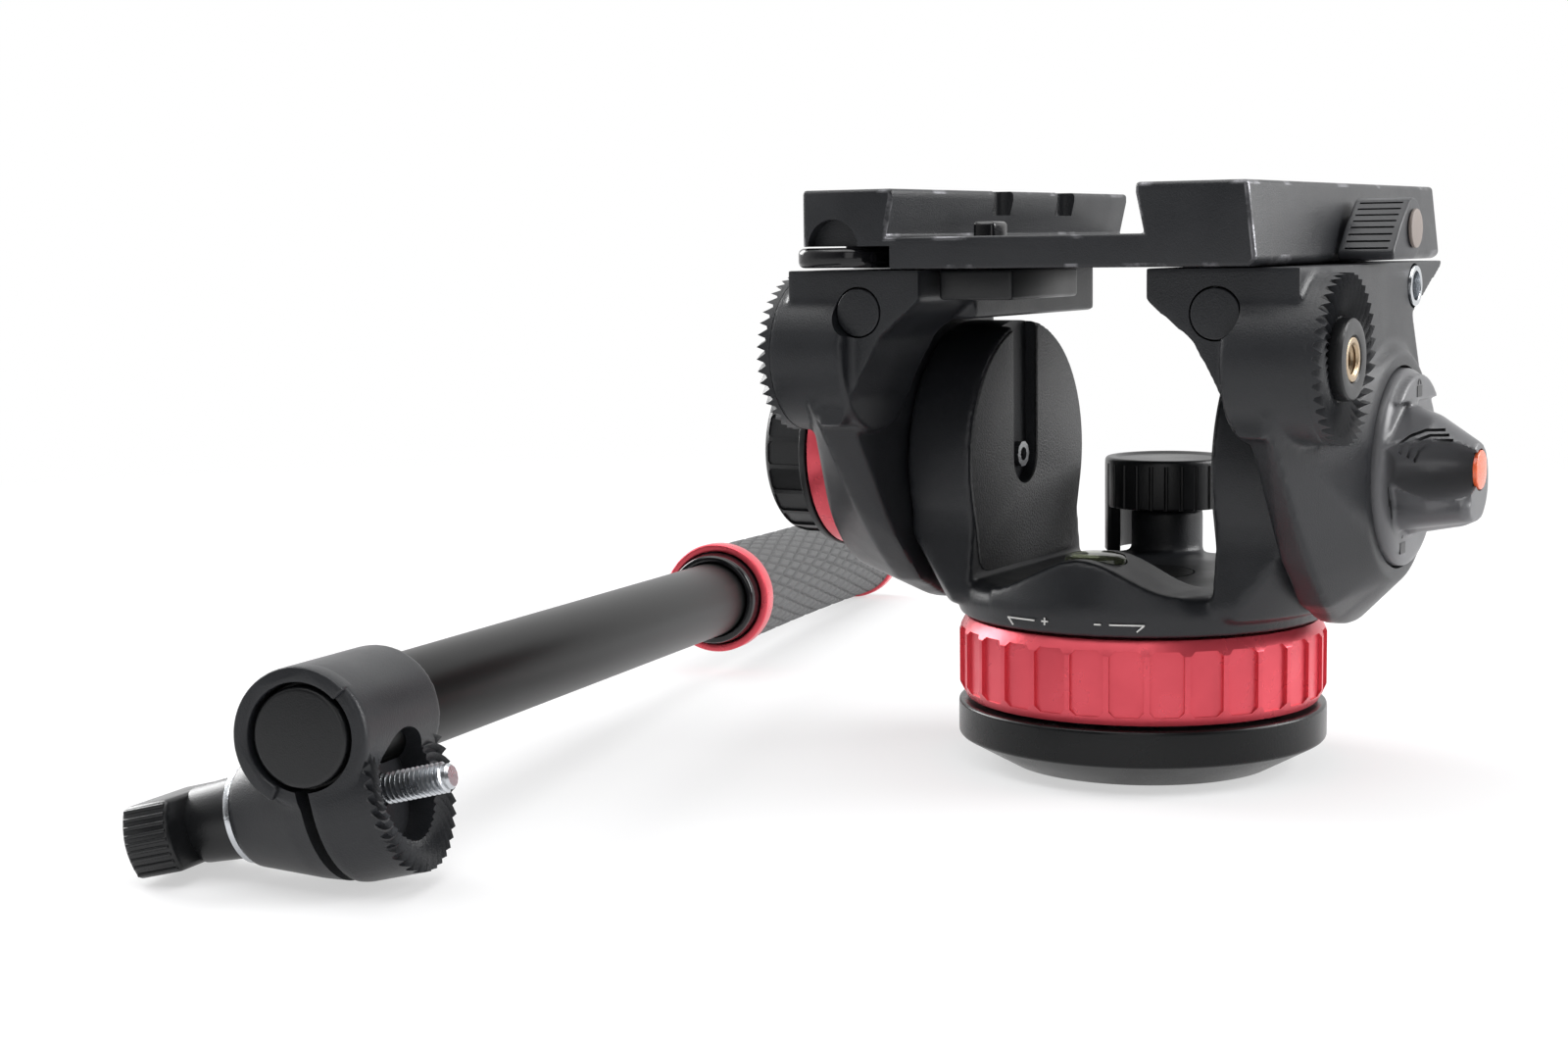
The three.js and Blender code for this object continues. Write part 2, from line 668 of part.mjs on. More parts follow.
// What the two uprights hold: cups, covers and bushes, with the counterbalance spring on the right.
function makeTiltInsides(group) {
  const cupStart = tiltPocketFloor + seatGap;
  const cupOuter = tiltPocketRadius - seatGap;
  const shaftHole = tiltShaftRadius + runGap;
  const cup = turnedX([[shaftHole, cupStart], [cupOuter, cupStart],
    [cupOuter, cupStart + tiltCupHeight], [cupOuter - tiltCupWall, cupStart + tiltCupHeight],
    [cupOuter - tiltCupWall, cupStart + tiltCupFloor], [shaftHole, cupStart + tiltCupFloor]],
  0, tiltAxisHeight);
  const coverOuter = tiltCoverInner + tiltCoverThickness;
  const cover = turnedX(ring(tiltBushRadius + seatGap, cupOuter, tiltCoverInner, coverOuter),
    0, tiltAxisHeight);
  const bush = turnedX(ring(tiltShaftRadius + seatGap, tiltBushRadius, tiltCoverInner, coverOuter),
    0, tiltAxisHeight);
  add(group, 'tilt_cartridge_cup', mirrored(cup), greaseMetal);
  add(group, 'tilt_cartridge_cover', mirrored(cover), blackPlastic);
  add(group, 'tilt_bush_left', mirrored(bush), brass);
  add(group, 'tilt_brake_cup', cup, greaseMetal);
  add(group, 'tilt_brake_cover', cover, blackPlastic);
  add(group, 'tilt_bush_right', bush, brass);
  const springStart = tiltCoverInner - seatGap - springThickness;
  const springOuter = cupOuter - tiltCupWall - seatGap;
  add(group, 'counterbalance_spring', turnedX(ring(springRadius, springOuter, springStart,
    springStart + springThickness), 0, tiltAxisHeight), steel);
}

// Lever that locks the pan: a flat hub with a ribbed skirt on the operator's left.
function makePanLock(group) {
  const skirtInner = panLockHubRadius - panLockSkirtWall;
  const ribs = panLockRibs * 2;
  const outerArc = Array.from({ length: ribs + 1 }, (_, i) => {
    const radius = panLockHubRadius - (i % 2 === 0 ? 0 : panLockRibDepth);
    const angle = panLockSkirtStart + ((panLockSkirtEnd - panLockSkirtStart) * i) / ribs;
    return arc(panLockX, panLockY, radius, angle, angle, 1)[0];
  });
  const innerArc = arc(panLockX, panLockY, skirtInner, panLockSkirtEnd, panLockSkirtStart, 10);
  const skirt = prismZ([...outerArc, ...innerArc], bowlTop + panLockSkirtGap,
    panLockHubBottom + panLockSkirtWall);
  const hub = turnedZ(chamfered(panLockHubRadius, panLockHubBottom, panLockHubTop, panLockRibDepth),
    panLockX, panLockY);
  const spindle = turnedZ(plain(panLockSpindleRadius, panLockBossTop - panLockSpindleDepth,
    panLockHubBottom + panLockRibDepth), panLockX, panLockY, smallSides);
  add(group, 'pan_lock_lever', joined(hub, skirt, spindle), blackPlastic);
}

// One arm of the tilting cradle, on the +X side.
function armBody() {
  const pod = turnedX([[0, armInner], [podRadius, armInner], [podRadius, armOuter - podEdge],
    [podRadius - podEdge, armOuter], [0, armOuter]], 0, tiltAxisHeight, largeSides);
  const neckFoot = tiltAxisHeight + podRadius / 4;
  const rear = [[0, tiltAxisHeight - podRadius / 2], [podRadius * neckRootShare, neckFoot],
    [podRadius * neckWaistShare, flangeLowest], [podRadius * neckTopShare, accessoryZ - platformEdge],
    [flangeBack, flangeTop - platformEdge], [flangeBack, flangeTop]];
  const lipDrop = webLip[1];
  const edge = [neckShoulder, neckWaist, neckToe].map(([y, rise]) => [y, tiltAxisHeight + rise]);
  const front = [[flangeFront, flangeTop], [flangeFront, flangeTop - lipDrop], ...edge];
  const recessed = front.map(([y, z]) => [y + neckRecess * (1 - (tiltAxisHeight - z) / podRadius / 2), z]);
  const neck = joined(prismX([...front, ...rear], armInner, neckFront),
    loftX([...front, ...rear], neckFront, [...recessed, ...rear], neckOuter));
  const slant = [webMiddle, webLip].map(([out, depth]) => [flangeInner + out, flangeTop - depth]);
  const web = prismY([[flangeInner, flangeTop], [flangeInner, flangeTop - webCorner], ...slant,
    [armInner, flangeTop - webFoot], [armInner + plugRadius, flangeTop - webFoot],
    [armInner + plugRadius, flangeTop]], flangeFront, webBack);
  const shelf = prismZ([[flangeInner, webBack - seatGap], [armInner + plugRadius, webBack - seatGap],
    [armInner + plugRadius, flangeBack], [flangeInner + tabCorner, flangeBack],
    [flangeInner, flangeBack - tabCorner]], flangeLowest, flangeTop);
  const boss = turnedX(plain(rosetteRadius, armInner - plugRadius / 2, rosetteFace), rosetteY, rosetteZ,
    roundSides);
  const crown = solid(toothedCrown(toothInnerRadius, rosetteRadius, rosetteTeeth, rosetteFace - toothHeight,
    rosetteFace, rosetteFace + toothHeight).rotateY(Math.PI / 2).translate(0, rosetteY, rosetteZ));
  const hub = turnedX(plain(rosetteBossRadius, armInner, rosetteFace + toothHeight + rosetteBossProud),
    rosetteY, rosetteZ);
  return joined(pod, neck, web, shelf, boss, crown, hub);
}

// Holes of one arm, on the +X side, for the pieces that it holds.
function armHoles() {
  const faceEnd = rosetteFace + toothHeight + rosetteBossProud;
  const screwHoles = [-armScrewY, armScrewY].flatMap((y) => [
    turnedZ(plain(armScrewHeadRadius + seatGap, flangeLowest - cutOverrun,
      flangeLowest + armScrewHeadHeight + seatGap * 2), armScrewX, y, smallSides),
    turnedZ(plain(armScrewRadius + seatGap, flangeLowest, platformBottom + cutOverrun),
      armScrewX, y, smallSides)]);
  return [
    turnedX(plain(insertRadius + seatGap, faceEnd - insertLength - seatGap, faceEnd + cutOverrun),
      rosetteY, rosetteZ, smallSides),
    turnedY(plain(plugRadius + seatGap, flangeFront - cutOverrun, flangeFront + plugDepth),
      plugX, plugZ),
    turnedX(plain(accessoryRadius + seatGap, neckOuter - accessoryLength - seatGap, neckOuter + cutOverrun),
      accessoryY, accessoryZ, smallSides),
    turnedX(plain(tiltShaftRadius + seatGap, armInner - cutOverrun, armInner + tiltShaftLength / 2),
      0, tiltAxisHeight),
    ...screwHoles,
  ];
}

// Small pieces of one arm, on the +X side, by name.
function armPieces() {
  const faceEnd = rosetteFace + toothHeight + rosetteBossProud;
  const shaftEnd = armInner + tiltShaftLength / 2 - seatGap;
  const screw = (y) => turnedZ([[0, flangeLowest + seatGap], [armScrewHeadRadius, flangeLowest + seatGap],
    [armScrewHeadRadius, flangeLowest + seatGap + armScrewHeadHeight],
    [armScrewRadius, flangeLowest + seatGap + armScrewHeadHeight],
    [armScrewRadius, flangeLowest + armScrewLength], [0, flangeLowest + armScrewLength]],
  armScrewX, y, smallSides);
  return {
    rosette_insert: [turnedX(ring(insertBore, insertRadius, faceEnd - insertLength, faceEnd + seatGap),
      rosetteY, rosetteZ, smallSides), brass],
    front_plug: [turnedY(plain(plugRadius, flangeFront - plugProud, flangeFront + plugDepth - seatGap),
      plugX, plugZ), paint],
    accessory_insert: [turnedX(ring(accessoryBore, accessoryRadius, neckOuter - accessoryLength,
      neckOuter + accessoryProud), accessoryY, accessoryZ, smallSides), steel],
    tilt_shaft: [turnedX(plain(tiltShaftRadius, shaftEnd - tiltShaftLength, shaftEnd), 0, tiltAxisHeight),
      steel],
    arm_screw_front: [screw(-armScrewY), steel],
    arm_screw_rear: [screw(armScrewY), steel],
  };
}

// Cradle arms with their small pieces; the left one carries the knob's collar, the right one the dial.
function makeArms(group) {
  const arm = armBody();
  const holes = armHoles();
  const collar = turnedX([[0, armOuter - podEdge], [podRadius, armOuter - podEdge],
    [knobCollarRadius, knobCollarOuter], [0, knobCollarOuter]], 0, tiltAxisHeight, largeSides);
  const spindleHole = turnedX(plain(knobSpindleRadius + seatGap, armOuter - knobSpindleDepth,
    knobCollarOuter + cutOverrun), 0, tiltAxisHeight, smallSides);
  add(group, 'left_arm', mirrored(cut(joined(arm, collar), ...holes, spindleHole)), paint);
  const recess = turnedX(plain(dialRadius + runGap, armOuter - dialRecessDepth, armOuter + cutOverrun),
    0, tiltAxisHeight, largeSides);
  const dialHole = turnedX(plain(dialSpindleRadius + seatGap,
    armOuter - dialRecessDepth - dialSpindleLength, armOuter + cutOverrun), 0, tiltAxisHeight, smallSides);
  add(group, 'right_arm', cut(arm, ...holes, recess, dialHole), paint);
  Object.entries(armPieces()).forEach(([name, [body, finish]]) => {
    add(group, `left_${name}`, mirrored(body), finish);
    add(group, `right_${name}`, body, finish);
  });

  const rotorStart = tiltPocketFloor + seatGap + tiltCupFloor + runGap;
  const hubHole = tiltShaftRadius + seatGap;
  const disc = turnedX(ring(hubHole, springRadius - runGap, rotorStart, rotorStart + tiltRotorThickness),
    0, tiltAxisHeight);
  add(group, 'tilt_rotor', mirrored(disc), greaseMetal);
  add(group, 'tilt_brake_disc', disc, steel);
}

// Platform: a block with a dovetailed channel for the camera plate.
function makePlatform(group) {
  const channelBottomLeft = channelLeft - dovetailUndercut;
  const channelBottomRight = channelRight + dovetailUndercut;
  const lip = platformTop - channelLip;
  const section = [[platformLeft + platformEdge, platformBottom], [platformRight - platformEdge,
    platformBottom], [platformRight, platformBottom + platformEdge], [platformRightTop, platformTop],
  [channelRight, platformTop], [channelRight, lip], [channelBottomRight, channelFloor],
  [channelBottomLeft, channelFloor], [channelLeft, lip], [channelLeft, platformTop],
  [platformLeft, platformTop], [platformLeft, platformBottom + platformEdge]];
  const block = prismY(section, platformFront, platformBack);
  const notches = [0, 1].map((i) => {
    const y = notchFirstY + i * notchPitch;
    return prismZ([[channelLeft + cutOverrun, y - notchLength / 2], [channelLeft + cutOverrun,
      y + notchLength / 2], [channelLeft - notchDepth, y + notchLength / 4],
    [channelLeft - notchDepth, y - notchLength / 4]], platformTop - notchHeight, platformTop + cutOverrun);
  });
  const tabTop = platformBottom + armTopGap + tabThickness;
  const tabPocket = box(platformLeft - cutOverrun, tabRight + tabTravel + springPressedLength,
    platformFront - cutOverrun, tabBack + seatGap, platformBottom - cutOverrun, tabTop + seatGap);
  const scoop = turnedY(plain(tabCorner, platformFront - cutOverrun, platformFront + tabCorner / 2),
    (platformLeft + tabRight) / 2, tabTop, smallSides);
  const catchHole = box(catchX - catchWidth / 2 - seatGap, catchX + catchWidth / 2 + seatGap,
    catchY - catchLength / 2 - seatGap, catchY + catchLength / 2 + seatGap,
    platformBottom - cutOverrun, platformTop);
  const jawPocket = box(channelRight - cutOverrun, channelRight + jawDepth - jawProud + jawTravel + seatGap,
    -jawLength / 2 - runGap + plateLeverY, jawLength / 2 + runGap + plateLeverY, channelFloor,
    channelFloor + jawHeight + runGap * 2);
  const leverHole = turnedX(plain(plateLeverSpindle + seatGap, channelRight - cutOverrun,
    platformRight + cutOverrun), plateLeverY, plateLeverZ, smallSides);
  const screwHoles = [-armScrewX, armScrewX].flatMap((x) => [-armScrewY, armScrewY].map((y) => turnedZ(
    plain(armScrewRadius + seatGap, platformBottom - cutOverrun, flangeLowest + armScrewLength + seatGap),
    x, y, smallSides)));
  add(group, 'platform', cut(block, ...notches, tabPocket, scoop, catchHole, jawPocket, leverHole,
    ...screwHoles), paint);

  const housingTop = platformBottom - seatGap;
  const housing = box(catchX - catchHousingWidth / 2, catchX + catchHousingWidth / 2,
    catchY - catchLength / 2 - catchHousingWall * 2, catchY + catchHousingLength,
    housingTop - catchHousingDepth, housingTop);
  const well = box(catchX - catchWidth / 2 - seatGap, catchX + catchWidth / 2 + seatGap,
    catchY - catchLength / 2 - seatGap, catchY + catchLength / 2 + seatGap,
    housingTop - catchHousingDepth + catchHousingWall, housingTop + cutOverrun);
  add(group, 'catch_housing', cut(housing, well), blackPlastic);
}

// Release tab at the front left corner.
function makeReleaseTab(group) {
  const bottom = platformBottom + armTopGap;
  const top = bottom + tabThickness;
  const outline = [...arc(tabLeft + tabCorner, tabBack - tabCorner / 2, tabCorner / 2, 180, 90, 4),
    [tabRight, tabBack], ...arc(tabRight - tabCorner, tabFront + tabCorner, tabCorner, 0, -90, 6),
    ...arc(tabLeft + tabCorner, tabFront + tabCorner, tabCorner, -90, -180, 6)];
  add(group, 'release_tab', prismZ(outline, bottom, top), glossBlack);
}

// Spring that returns the tab, at its pressed length at the end of its pocket.
function makeReleaseSpring(group) {
  const start = tabRight + tabTravel + seatGap;
  add(group, 'release_spring', turnedX(plain(springCoilRadius, start,
    start + springPressedLength - seatGap * 2), (tabFront + tabBack) / 2,
  platformBottom + armTopGap + tabThickness / 2, smallSides), steel);
}

// Safety catch that stands up through the channel's floor and sinks when the tab is pressed.
function makeSafetyCatch(group) {
  const bottom = platformBottom - seatGap - catchHousingDepth + catchHousingWall + catchTravel + runGap;
  add(group, 'safety_catch', box(catchX - catchWidth / 2, catchX + catchWidth / 2,
    catchY - catchLength / 2, catchY + catchLength / 2, bottom, channelFloor + catchProud), glossBlack);
}

// Jaw that grips the plate, and the ribbed lever that drives it.
function makePlateClamp(group) {
  const jawInner = channelRight - jawProud;
  const jawBottom = channelFloor + seatGap;
  add(group, 'plate_clamp_jaw', box(jawInner, jawInner + jawDepth, plateLeverY - jawLength / 2,
    plateLeverY + jawLength / 2, jawBottom, jawBottom + jawHeight), steel);

  const inner = platformRight + runGap;
  const outer = inner + plateLeverWidth;
  const tipY = plateLeverY - plateLeverReach;
  const low = plateLeverZ - plateLeverHubRadius;
  const tipTop = low + plateLeverTipHeight;
  const slope = (plateLeverZ + plateLeverHubRadius - tipTop) / (plateLeverReach - plateLeverHubRadius);
  const ribSteps = plateLeverRibs * 2;
  const run = plateLeverReach - plateLeverHubRadius;
  const ribbed = Array.from({ length: ribSteps + 1 }, (_, i) => {
    const y = plateLeverY - plateLeverHubRadius / 2 - ((run - plateLeverHubRadius / 2) * i) / ribSteps;
    const rise = plateLeverZ + plateLeverHubRadius - slope * (plateLeverY - y);
    return [y, rise - (i % 2 === 0 ? 0 : plateLeverRibDepth)];
  });
  const outline = [...arc(plateLeverY, plateLeverZ, plateLeverHubRadius, -90, 90, 12), ...ribbed,
    [tipY, tipTop - plateLeverTipHeight / 4], [tipY, low + plateLeverRibDepth],
    [tipY + plateLeverRibDepth, low]];
  const spindleStart = jawInner + jawDepth + jawTravel + seatGap;
  const spindle = turnedX(plain(plateLeverSpindle, spindleStart, inner + seatGap),
    plateLeverY, plateLeverZ, smallSides);
  add(group, 'plate_lever', joined(prismX(outline, inner, outer), spindle), blackPlastic);
  add(group, 'plate_lever_cap', turnedX(plain(plateLeverCapRadius, outer + seatGap,
    outer + seatGap + plateLeverCapProud), plateLeverY, plateLeverZ), greaseMetal);
}

// Knob that sets the tilt drag, with its coloured band.
function makeTiltDragKnob(group) {
  const bandStart = knobCollarOuter + seatGap;
  const bandEnd = bandStart + bandWidth;
  const knobStart = bandEnd + seatGap;
  const band = turnedX(ring(knobBore, bandRadius, bandStart, bandEnd), 0, tiltAxisHeight, largeSides);
  add(group, 'tilt_drag_band', mirrored(band), redAnodised);
  const outline = fluted(knobRadius, knobPanels, knobGrooveDepth, dragGrooveShare)
    .map(([y, z]) => [y, z + tiltAxisHeight]);
  const grip = prismX(outline, knobStart, knobStart + knobWidth);
  const round = turnedX([[0, knobStart], [knobRadius, knobStart], [knobRadius, knobStart + knobWidth
    - knobGrooveDepth * 2], [knobRadius - knobGrooveDepth * 2, knobStart + knobWidth],
  [0, knobStart + knobWidth]], 0, tiltAxisHeight, largeSides);
  const rim = turnedX(plain(knobRimRadius, knobStart, knobStart + knobRimWidth), 0, tiltAxisHeight,
    largeSides);
  const spindle = turnedX(plain(knobSpindleRadius, armOuter - knobSpindleDepth + seatGap,
    knobStart + seatGap), 0, tiltAxisHeight, smallSides);
  add(group, 'tilt_drag_knob', mirrored(joined(grip.intersect(round), rim, spindle)), blackPlastic);
}

// Dial that locks the tilt, with the handle that stands out towards the operator.
function makeTiltLockDial(group) {
  const inner = armOuter - dialRecessDepth + seatGap;
  const face = inner + dialThickness;
  const disc = turnedX([[0, inner], [dialRadius, inner], [dialRadius, face - dialRecessDepth / 2],
    [dialRadius - dialRecessDepth, face], [0, face]], 0, tiltAxisHeight, largeSides);
  const handle = prismZ([[face - dialRecessDepth, handleBack], [face + dialRecessDepth, handleBack],
    [(face + handleOuter) / 2, handleEndBack + dialRecessDepth * 2], [handleOuter, handleEndBack],
    [handleOuter, handleFront + dialRecessDepth], [handleOuter - dialRecessDepth * 2, handleFront],
    [face + dialRecessDepth, handleFront + dialRecessDepth * 2],
    [face - dialRecessDepth, handleFront + dialRecessDepth * 3]], handleBottom, handleTop);
  const taper = prismY([[face - cutOverrun, handleBottom - dialRecessDepth], [face + dialRecessDepth,
    handleBottom - dialRecessDepth], [handleOuter + cutOverrun, handleBottom + dialRecessDepth],
  [handleOuter + cutOverrun, handleTop - dialRecessDepth * 3], [face + dialRecessDepth * 2, handleTop],
  [face - cutOverrun, handleTop]], handleFront - cutOverrun, handleBack + cutOverrun);
  const badgeY = (handleFront + handleEndBack) / 2;
  const badgeZ = (handleTop - dialRecessDepth * 2 + handleBottom) / 2;
  const badgeSeat = turnedX(plain(badgeRadius + seatGap, handleOuter - badgeThickness,
    handleOuter + cutOverrun), badgeY, badgeZ, smallSides);
  const spindle = turnedX(plain(dialSpindleRadius, inner - dialSpindleLength, inner + seatGap),
    0, tiltAxisHeight, smallSides);
  add(group, 'tilt_lock_dial', cut(joined(disc, handle.intersect(taper), spindle), badgeSeat),
    blackPlastic);
  add(group, 'tilt_lock_badge', turnedX(plain(badgeRadius, handleOuter - badgeThickness + seatGap,
    handleOuter + badgeThickness - seatGap), badgeY, badgeZ, smallSides), orangeRed);
}

// Pan bar pieces are made along their own Y, from the clamped end, with the clamp's screw along X.
function makeBar(group) {
  add(group, 'pan_bar_tube', turnedY(
    ring(barRadius - barWall, barRadius, barPlugDepth / 3, barGripStart + gripLength), 0, 0), glossBlack);
  const plugLip = barPlugDepth / 3 - seatGap;
  add(group, 'pan_bar_end_plug', turnedY([[0, 0], [barRadius - plugLip / 2, 0], [barRadius, plugLip / 2],
    [barRadius, plugLip], [barRadius - barWall - seatGap, plugLip],
    [barRadius - barWall - seatGap, barPlugDepth], [0, barPlugDepth]], 0, 0), blackPlastic);
  const bore = barRadius + seatGap;
  const collarStart = barGripStart - barCollarLength / 2;
  const nearStart = barGripStart;
  const gripStart = nearStart + ringWidth + seatGap;
  const gripEnd = gripStart + gripLength - ringWidth * 2 - seatGap * 2;
  const farStart = gripEnd + seatGap;
  add(group, 'grip_collar', turnedY([[bore, collarStart], [barCollarRadius - seatGap, collarStart],
    [barCollarRadius, collarStart + seatGap], [barCollarRadius, collarStart + barCollarLength],
    [bore, collarStart + barCollarLength]], 0, 0), blackPlastic);
  const ringBore = barCollarRadius + seatGap;
  const ringProfile = (start) => [[ringBore, start], [ringRadius - seatGap, start],
    [ringRadius, start + seatGap], [ringRadius, start + ringWidth - seatGap],
    [ringRadius - seatGap, start + ringWidth], [ringBore, start + ringWidth]];
  add(group, 'grip_ring_near', turnedY(ringProfile(nearStart), 0, 0, largeSides), redAnodised);
  add(group, 'grip_ring_far', turnedY(ringProfile(farStart), 0, 0, largeSides), redAnodised);
  const middle = (gripStart + gripEnd) / 2;
  add(group, 'rubber_grip', turnedY([[bore, gripStart], [gripRadius, gripStart],
    [gripRadius - gripWaist, middle], [gripRadius, gripEnd], [bore, gripEnd]], 0, 0), rubber);
  const capEnd = farStart + ringWidth + gripCapLength;
  const sleeveEnd = barGripStart + gripLength + seatGap;
  add(group, 'grip_end_cap', turnedY([[bore, farStart + seatGap], [barCollarRadius, farStart + seatGap],
    [barCollarRadius, farStart + ringWidth + seatGap], [gripCapRadius, farStart + ringWidth + seatGap],
    [gripCapRadius, capEnd - gripCapLength / 3], [gripCapRadius - gripCapLength / 3, capEnd],
    [0, capEnd], [0, sleeveEnd], [bore, sleeveEnd]], 0, 0), blackPlastic);
}

// Clamp of the pan bar: a split collar round the tube and a toothed block for the head's rosette.
function makeBarClamp(group) {
  const collarRadius = barRadius + seatGap + clampWall;
  const front = -clampFrontProud;
  const collar = turnedY([[0, front], [collarRadius - clampFrontProud, front],
    [collarRadius, front + clampFrontProud], [collarRadius, clampLength - clampWall],
    [collarRadius - clampWall / 2, clampLength], [0, clampLength]], 0, 0);
  const screwY = clampScrewSetback;
  const screwZ = -clampScrewDrop;
  const crownBack = clampRosetteReach - toothHeight;
  const block = turnedX([[0, -clampKnobReach], [clampKnobSideRadius - clampFrontProud, -clampKnobReach],
    [clampKnobSideRadius, clampFrontProud - clampKnobReach], [clampRosetteRadius - clampWall / 2,
      -clampRosetteReach / 2], [clampRosetteRadius, 0], [clampRosetteRadius, crownBack], [0, crownBack]],
  screwY, screwZ);
  const crown = solid(toothedCrown(clampRecessRadius, clampRosetteRadius, rosetteTeeth,
    crownBack - toothHeight, crownBack, clampRosetteReach).rotateY(Math.PI / 2)
    .translate(0, screwY, screwZ));
  const slitLeft = -clampSlitOffset - clampSlitWidth;
  const slit = box(slitLeft, slitLeft + clampSlitWidth, front - cutOverrun, clampLength + cutOverrun,
    screwZ - clampRosetteRadius - cutOverrun, 0);
  const body = cut(joined(collar, block, crown), slit,
    turnedY(plain(barRadius + seatGap, front - cutOverrun, clampLength + cutOverrun), 0, 0),
    turnedX(plain(clampRecessRadius, clampRosetteReach - clampRecessDepth,
      clampRosetteReach + cutOverrun), screwY, screwZ),
    turnedX(plain(clampScrewRadius + seatGap, -clampKnobReach - cutOverrun, clampRosetteReach),
      screwY, screwZ, smallSides));
  add(group, 'pan_bar_clamp', body, paint);
}

// Screw of the clamp with its washer and the winged knob that turns it.
function makeClampKnob(group) {
  const y = clampScrewSetback;
  const z = -clampScrewDrop;
  const washerOuter = -clampKnobReach - seatGap;
  const washerInner = washerOuter - washerThickness;
  const neckStart = washerInner - seatGap;
  const neckEnd = neckStart - knobNeckLength;
  const wingEnd = neckEnd - wingThickness;
  const tip = clampRosetteReach + clampScrewProud;
  const threadStart = tip - (clampScrewProud + clampRecessDepth);
  const pitch = (tip - threadStart) / clampThreads;
  const threads = Array.from({ length: clampThreads }, (_, i) => {
    const at = threadStart + i * pitch;
    return [[clampScrewRadius - threadDepth, at], [clampScrewRadius, at + pitch / 2]];
  }).flat();
  const screw = turnedX([[0, neckStart + seatGap], [clampScrewRadius, neckStart + seatGap],
    [clampScrewRadius, threadStart - pitch], ...threads, [clampScrewRadius - threadDepth, tip], [0, tip]],
  y, z, smallSides);
  add(group, 'clamp_screw', screw, steel);
  add(group, 'clamp_washer', turnedX(
    ring(clampScrewRadius + seatGap, washerRadius, washerInner, washerOuter), y, z), steel);
  const neck = turnedX([[0, neckEnd - seatGap], [knobNeckRadius, neckEnd - seatGap],
    [washerRadius, neckStart - washerThickness], [washerRadius, neckStart], [0, neckStart]], y, z);
  const ribs = wingRibs * 2;
  const wingEdge = (side) => Array.from({ length: ribs + 1 }, (_, i) => {
    const share = 1 - (2 * i) / ribs;
    const bulge = wingReach - (i % 2 === 0 ? 0 : wingRibDepth);
    return [y + side * (bulge - (wingReach / 6) * share * share), z + side * share * wingHalfHeight];
  });
  const wing = prismX([...wingEdge(-1), ...wingEdge(1)], wingEnd, neckEnd);
  add(group, 'clamp_wing_knob', joined(wing, neck), blackPlastic);
}

const head = new THREE.Group();
makeBase(head);
makeDragRing(head);
makePanHousing(head);
makePanLock(head);
makeArms(head);
makePlatform(head);
makeReleaseTab(head);
makeReleaseSpring(head);
makeSafetyCatch(head);
makePlateClamp(head);
makeTiltDragKnob(head);
makeTiltLockDial(head);

// The bar lies with its far ring on the ground; its clamp leans over on the wing of its knob.
const panBar = new THREE.Group();
makeBar(panBar);
makeBarClamp(panBar);
makeClampKnob(panBar);
const along = new THREE.Vector3(-Math.sin(barAzimuth * degree) * Math.cos(barDrop * degree),
  Math.cos(barAzimuth * degree) * Math.cos(barDrop * degree), -Math.sin(barDrop * degree));
const level = new THREE.Vector3(Math.cos(barAzimuth * degree), Math.sin(barAzimuth * degree), 0);
const across = level.applyAxisAngle(along, -clampRoll * degree);
const upward = new THREE.Vector3().crossVectors(across, along);
const farRing = barGripStart + gripLength;
panBar.quaternion.setFromRotationMatrix(new THREE.Matrix4().makeBasis(across, along, upward));
panBar.position.set(barX, barY, ringRadius * Math.cos(barDrop * degree)
  + farRing * Math.sin(barDrop * degree));

// The whole stands on z = 0, with the middle of its plan over the origin.
const assembly = new THREE.Group();
assembly.add(head, panBar);
assembly.updateMatrixWorld(true);
const extent = new THREE.Box3().setFromObject(assembly, true);
const middle = extent.getCenter(new THREE.Vector3());
assembly.position.set(-middle.x, -middle.y, -extent.min.z);

export default assembly;
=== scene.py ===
"""Looks of a fluid video head that stands with its pan bar taken off and laid beside it.

Shapes are modelled in millimetres about their sub-assembly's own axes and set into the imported
frame in metres. The head's X points to the operator's right, Y away from the operator along the
plate channel, and Z up; the bar's Y runs along its tube and its X along the clamp's screw.
"""

import json
import logging
import math
from collections.abc import Callable, Iterable, Sequence
from dataclasses import dataclass, field
from enum import Enum

import bmesh
import bpy
from mathutils import Matrix, Vector


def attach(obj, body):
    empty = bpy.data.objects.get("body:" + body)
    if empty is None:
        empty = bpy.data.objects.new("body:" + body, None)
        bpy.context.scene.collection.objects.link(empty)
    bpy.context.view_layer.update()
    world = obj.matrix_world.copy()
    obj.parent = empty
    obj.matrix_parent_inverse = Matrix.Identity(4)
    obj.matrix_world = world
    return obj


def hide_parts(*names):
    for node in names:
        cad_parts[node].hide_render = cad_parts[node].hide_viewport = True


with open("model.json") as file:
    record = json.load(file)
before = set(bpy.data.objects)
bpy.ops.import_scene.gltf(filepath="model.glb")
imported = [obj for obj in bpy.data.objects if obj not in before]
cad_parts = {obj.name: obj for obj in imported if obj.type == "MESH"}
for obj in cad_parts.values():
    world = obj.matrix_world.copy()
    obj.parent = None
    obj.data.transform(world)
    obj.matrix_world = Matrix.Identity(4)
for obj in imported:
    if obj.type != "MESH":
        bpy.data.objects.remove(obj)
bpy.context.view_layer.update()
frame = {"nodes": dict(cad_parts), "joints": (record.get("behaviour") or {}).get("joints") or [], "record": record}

LOG = logging.getLogger("fluid_head")
MM = 0.001
# A place on a flat outline, the same with its corner's round, a place in space, an outline's
# places, and two opposite corners of a box.
Flat = tuple[float, float]
Corner = tuple[float, float, float]
Spot = tuple[float, float, float]
Corners = tuple[Flat | Corner, ...]
Box = tuple[Spot, Spot]
Colour = tuple[float, float, float]

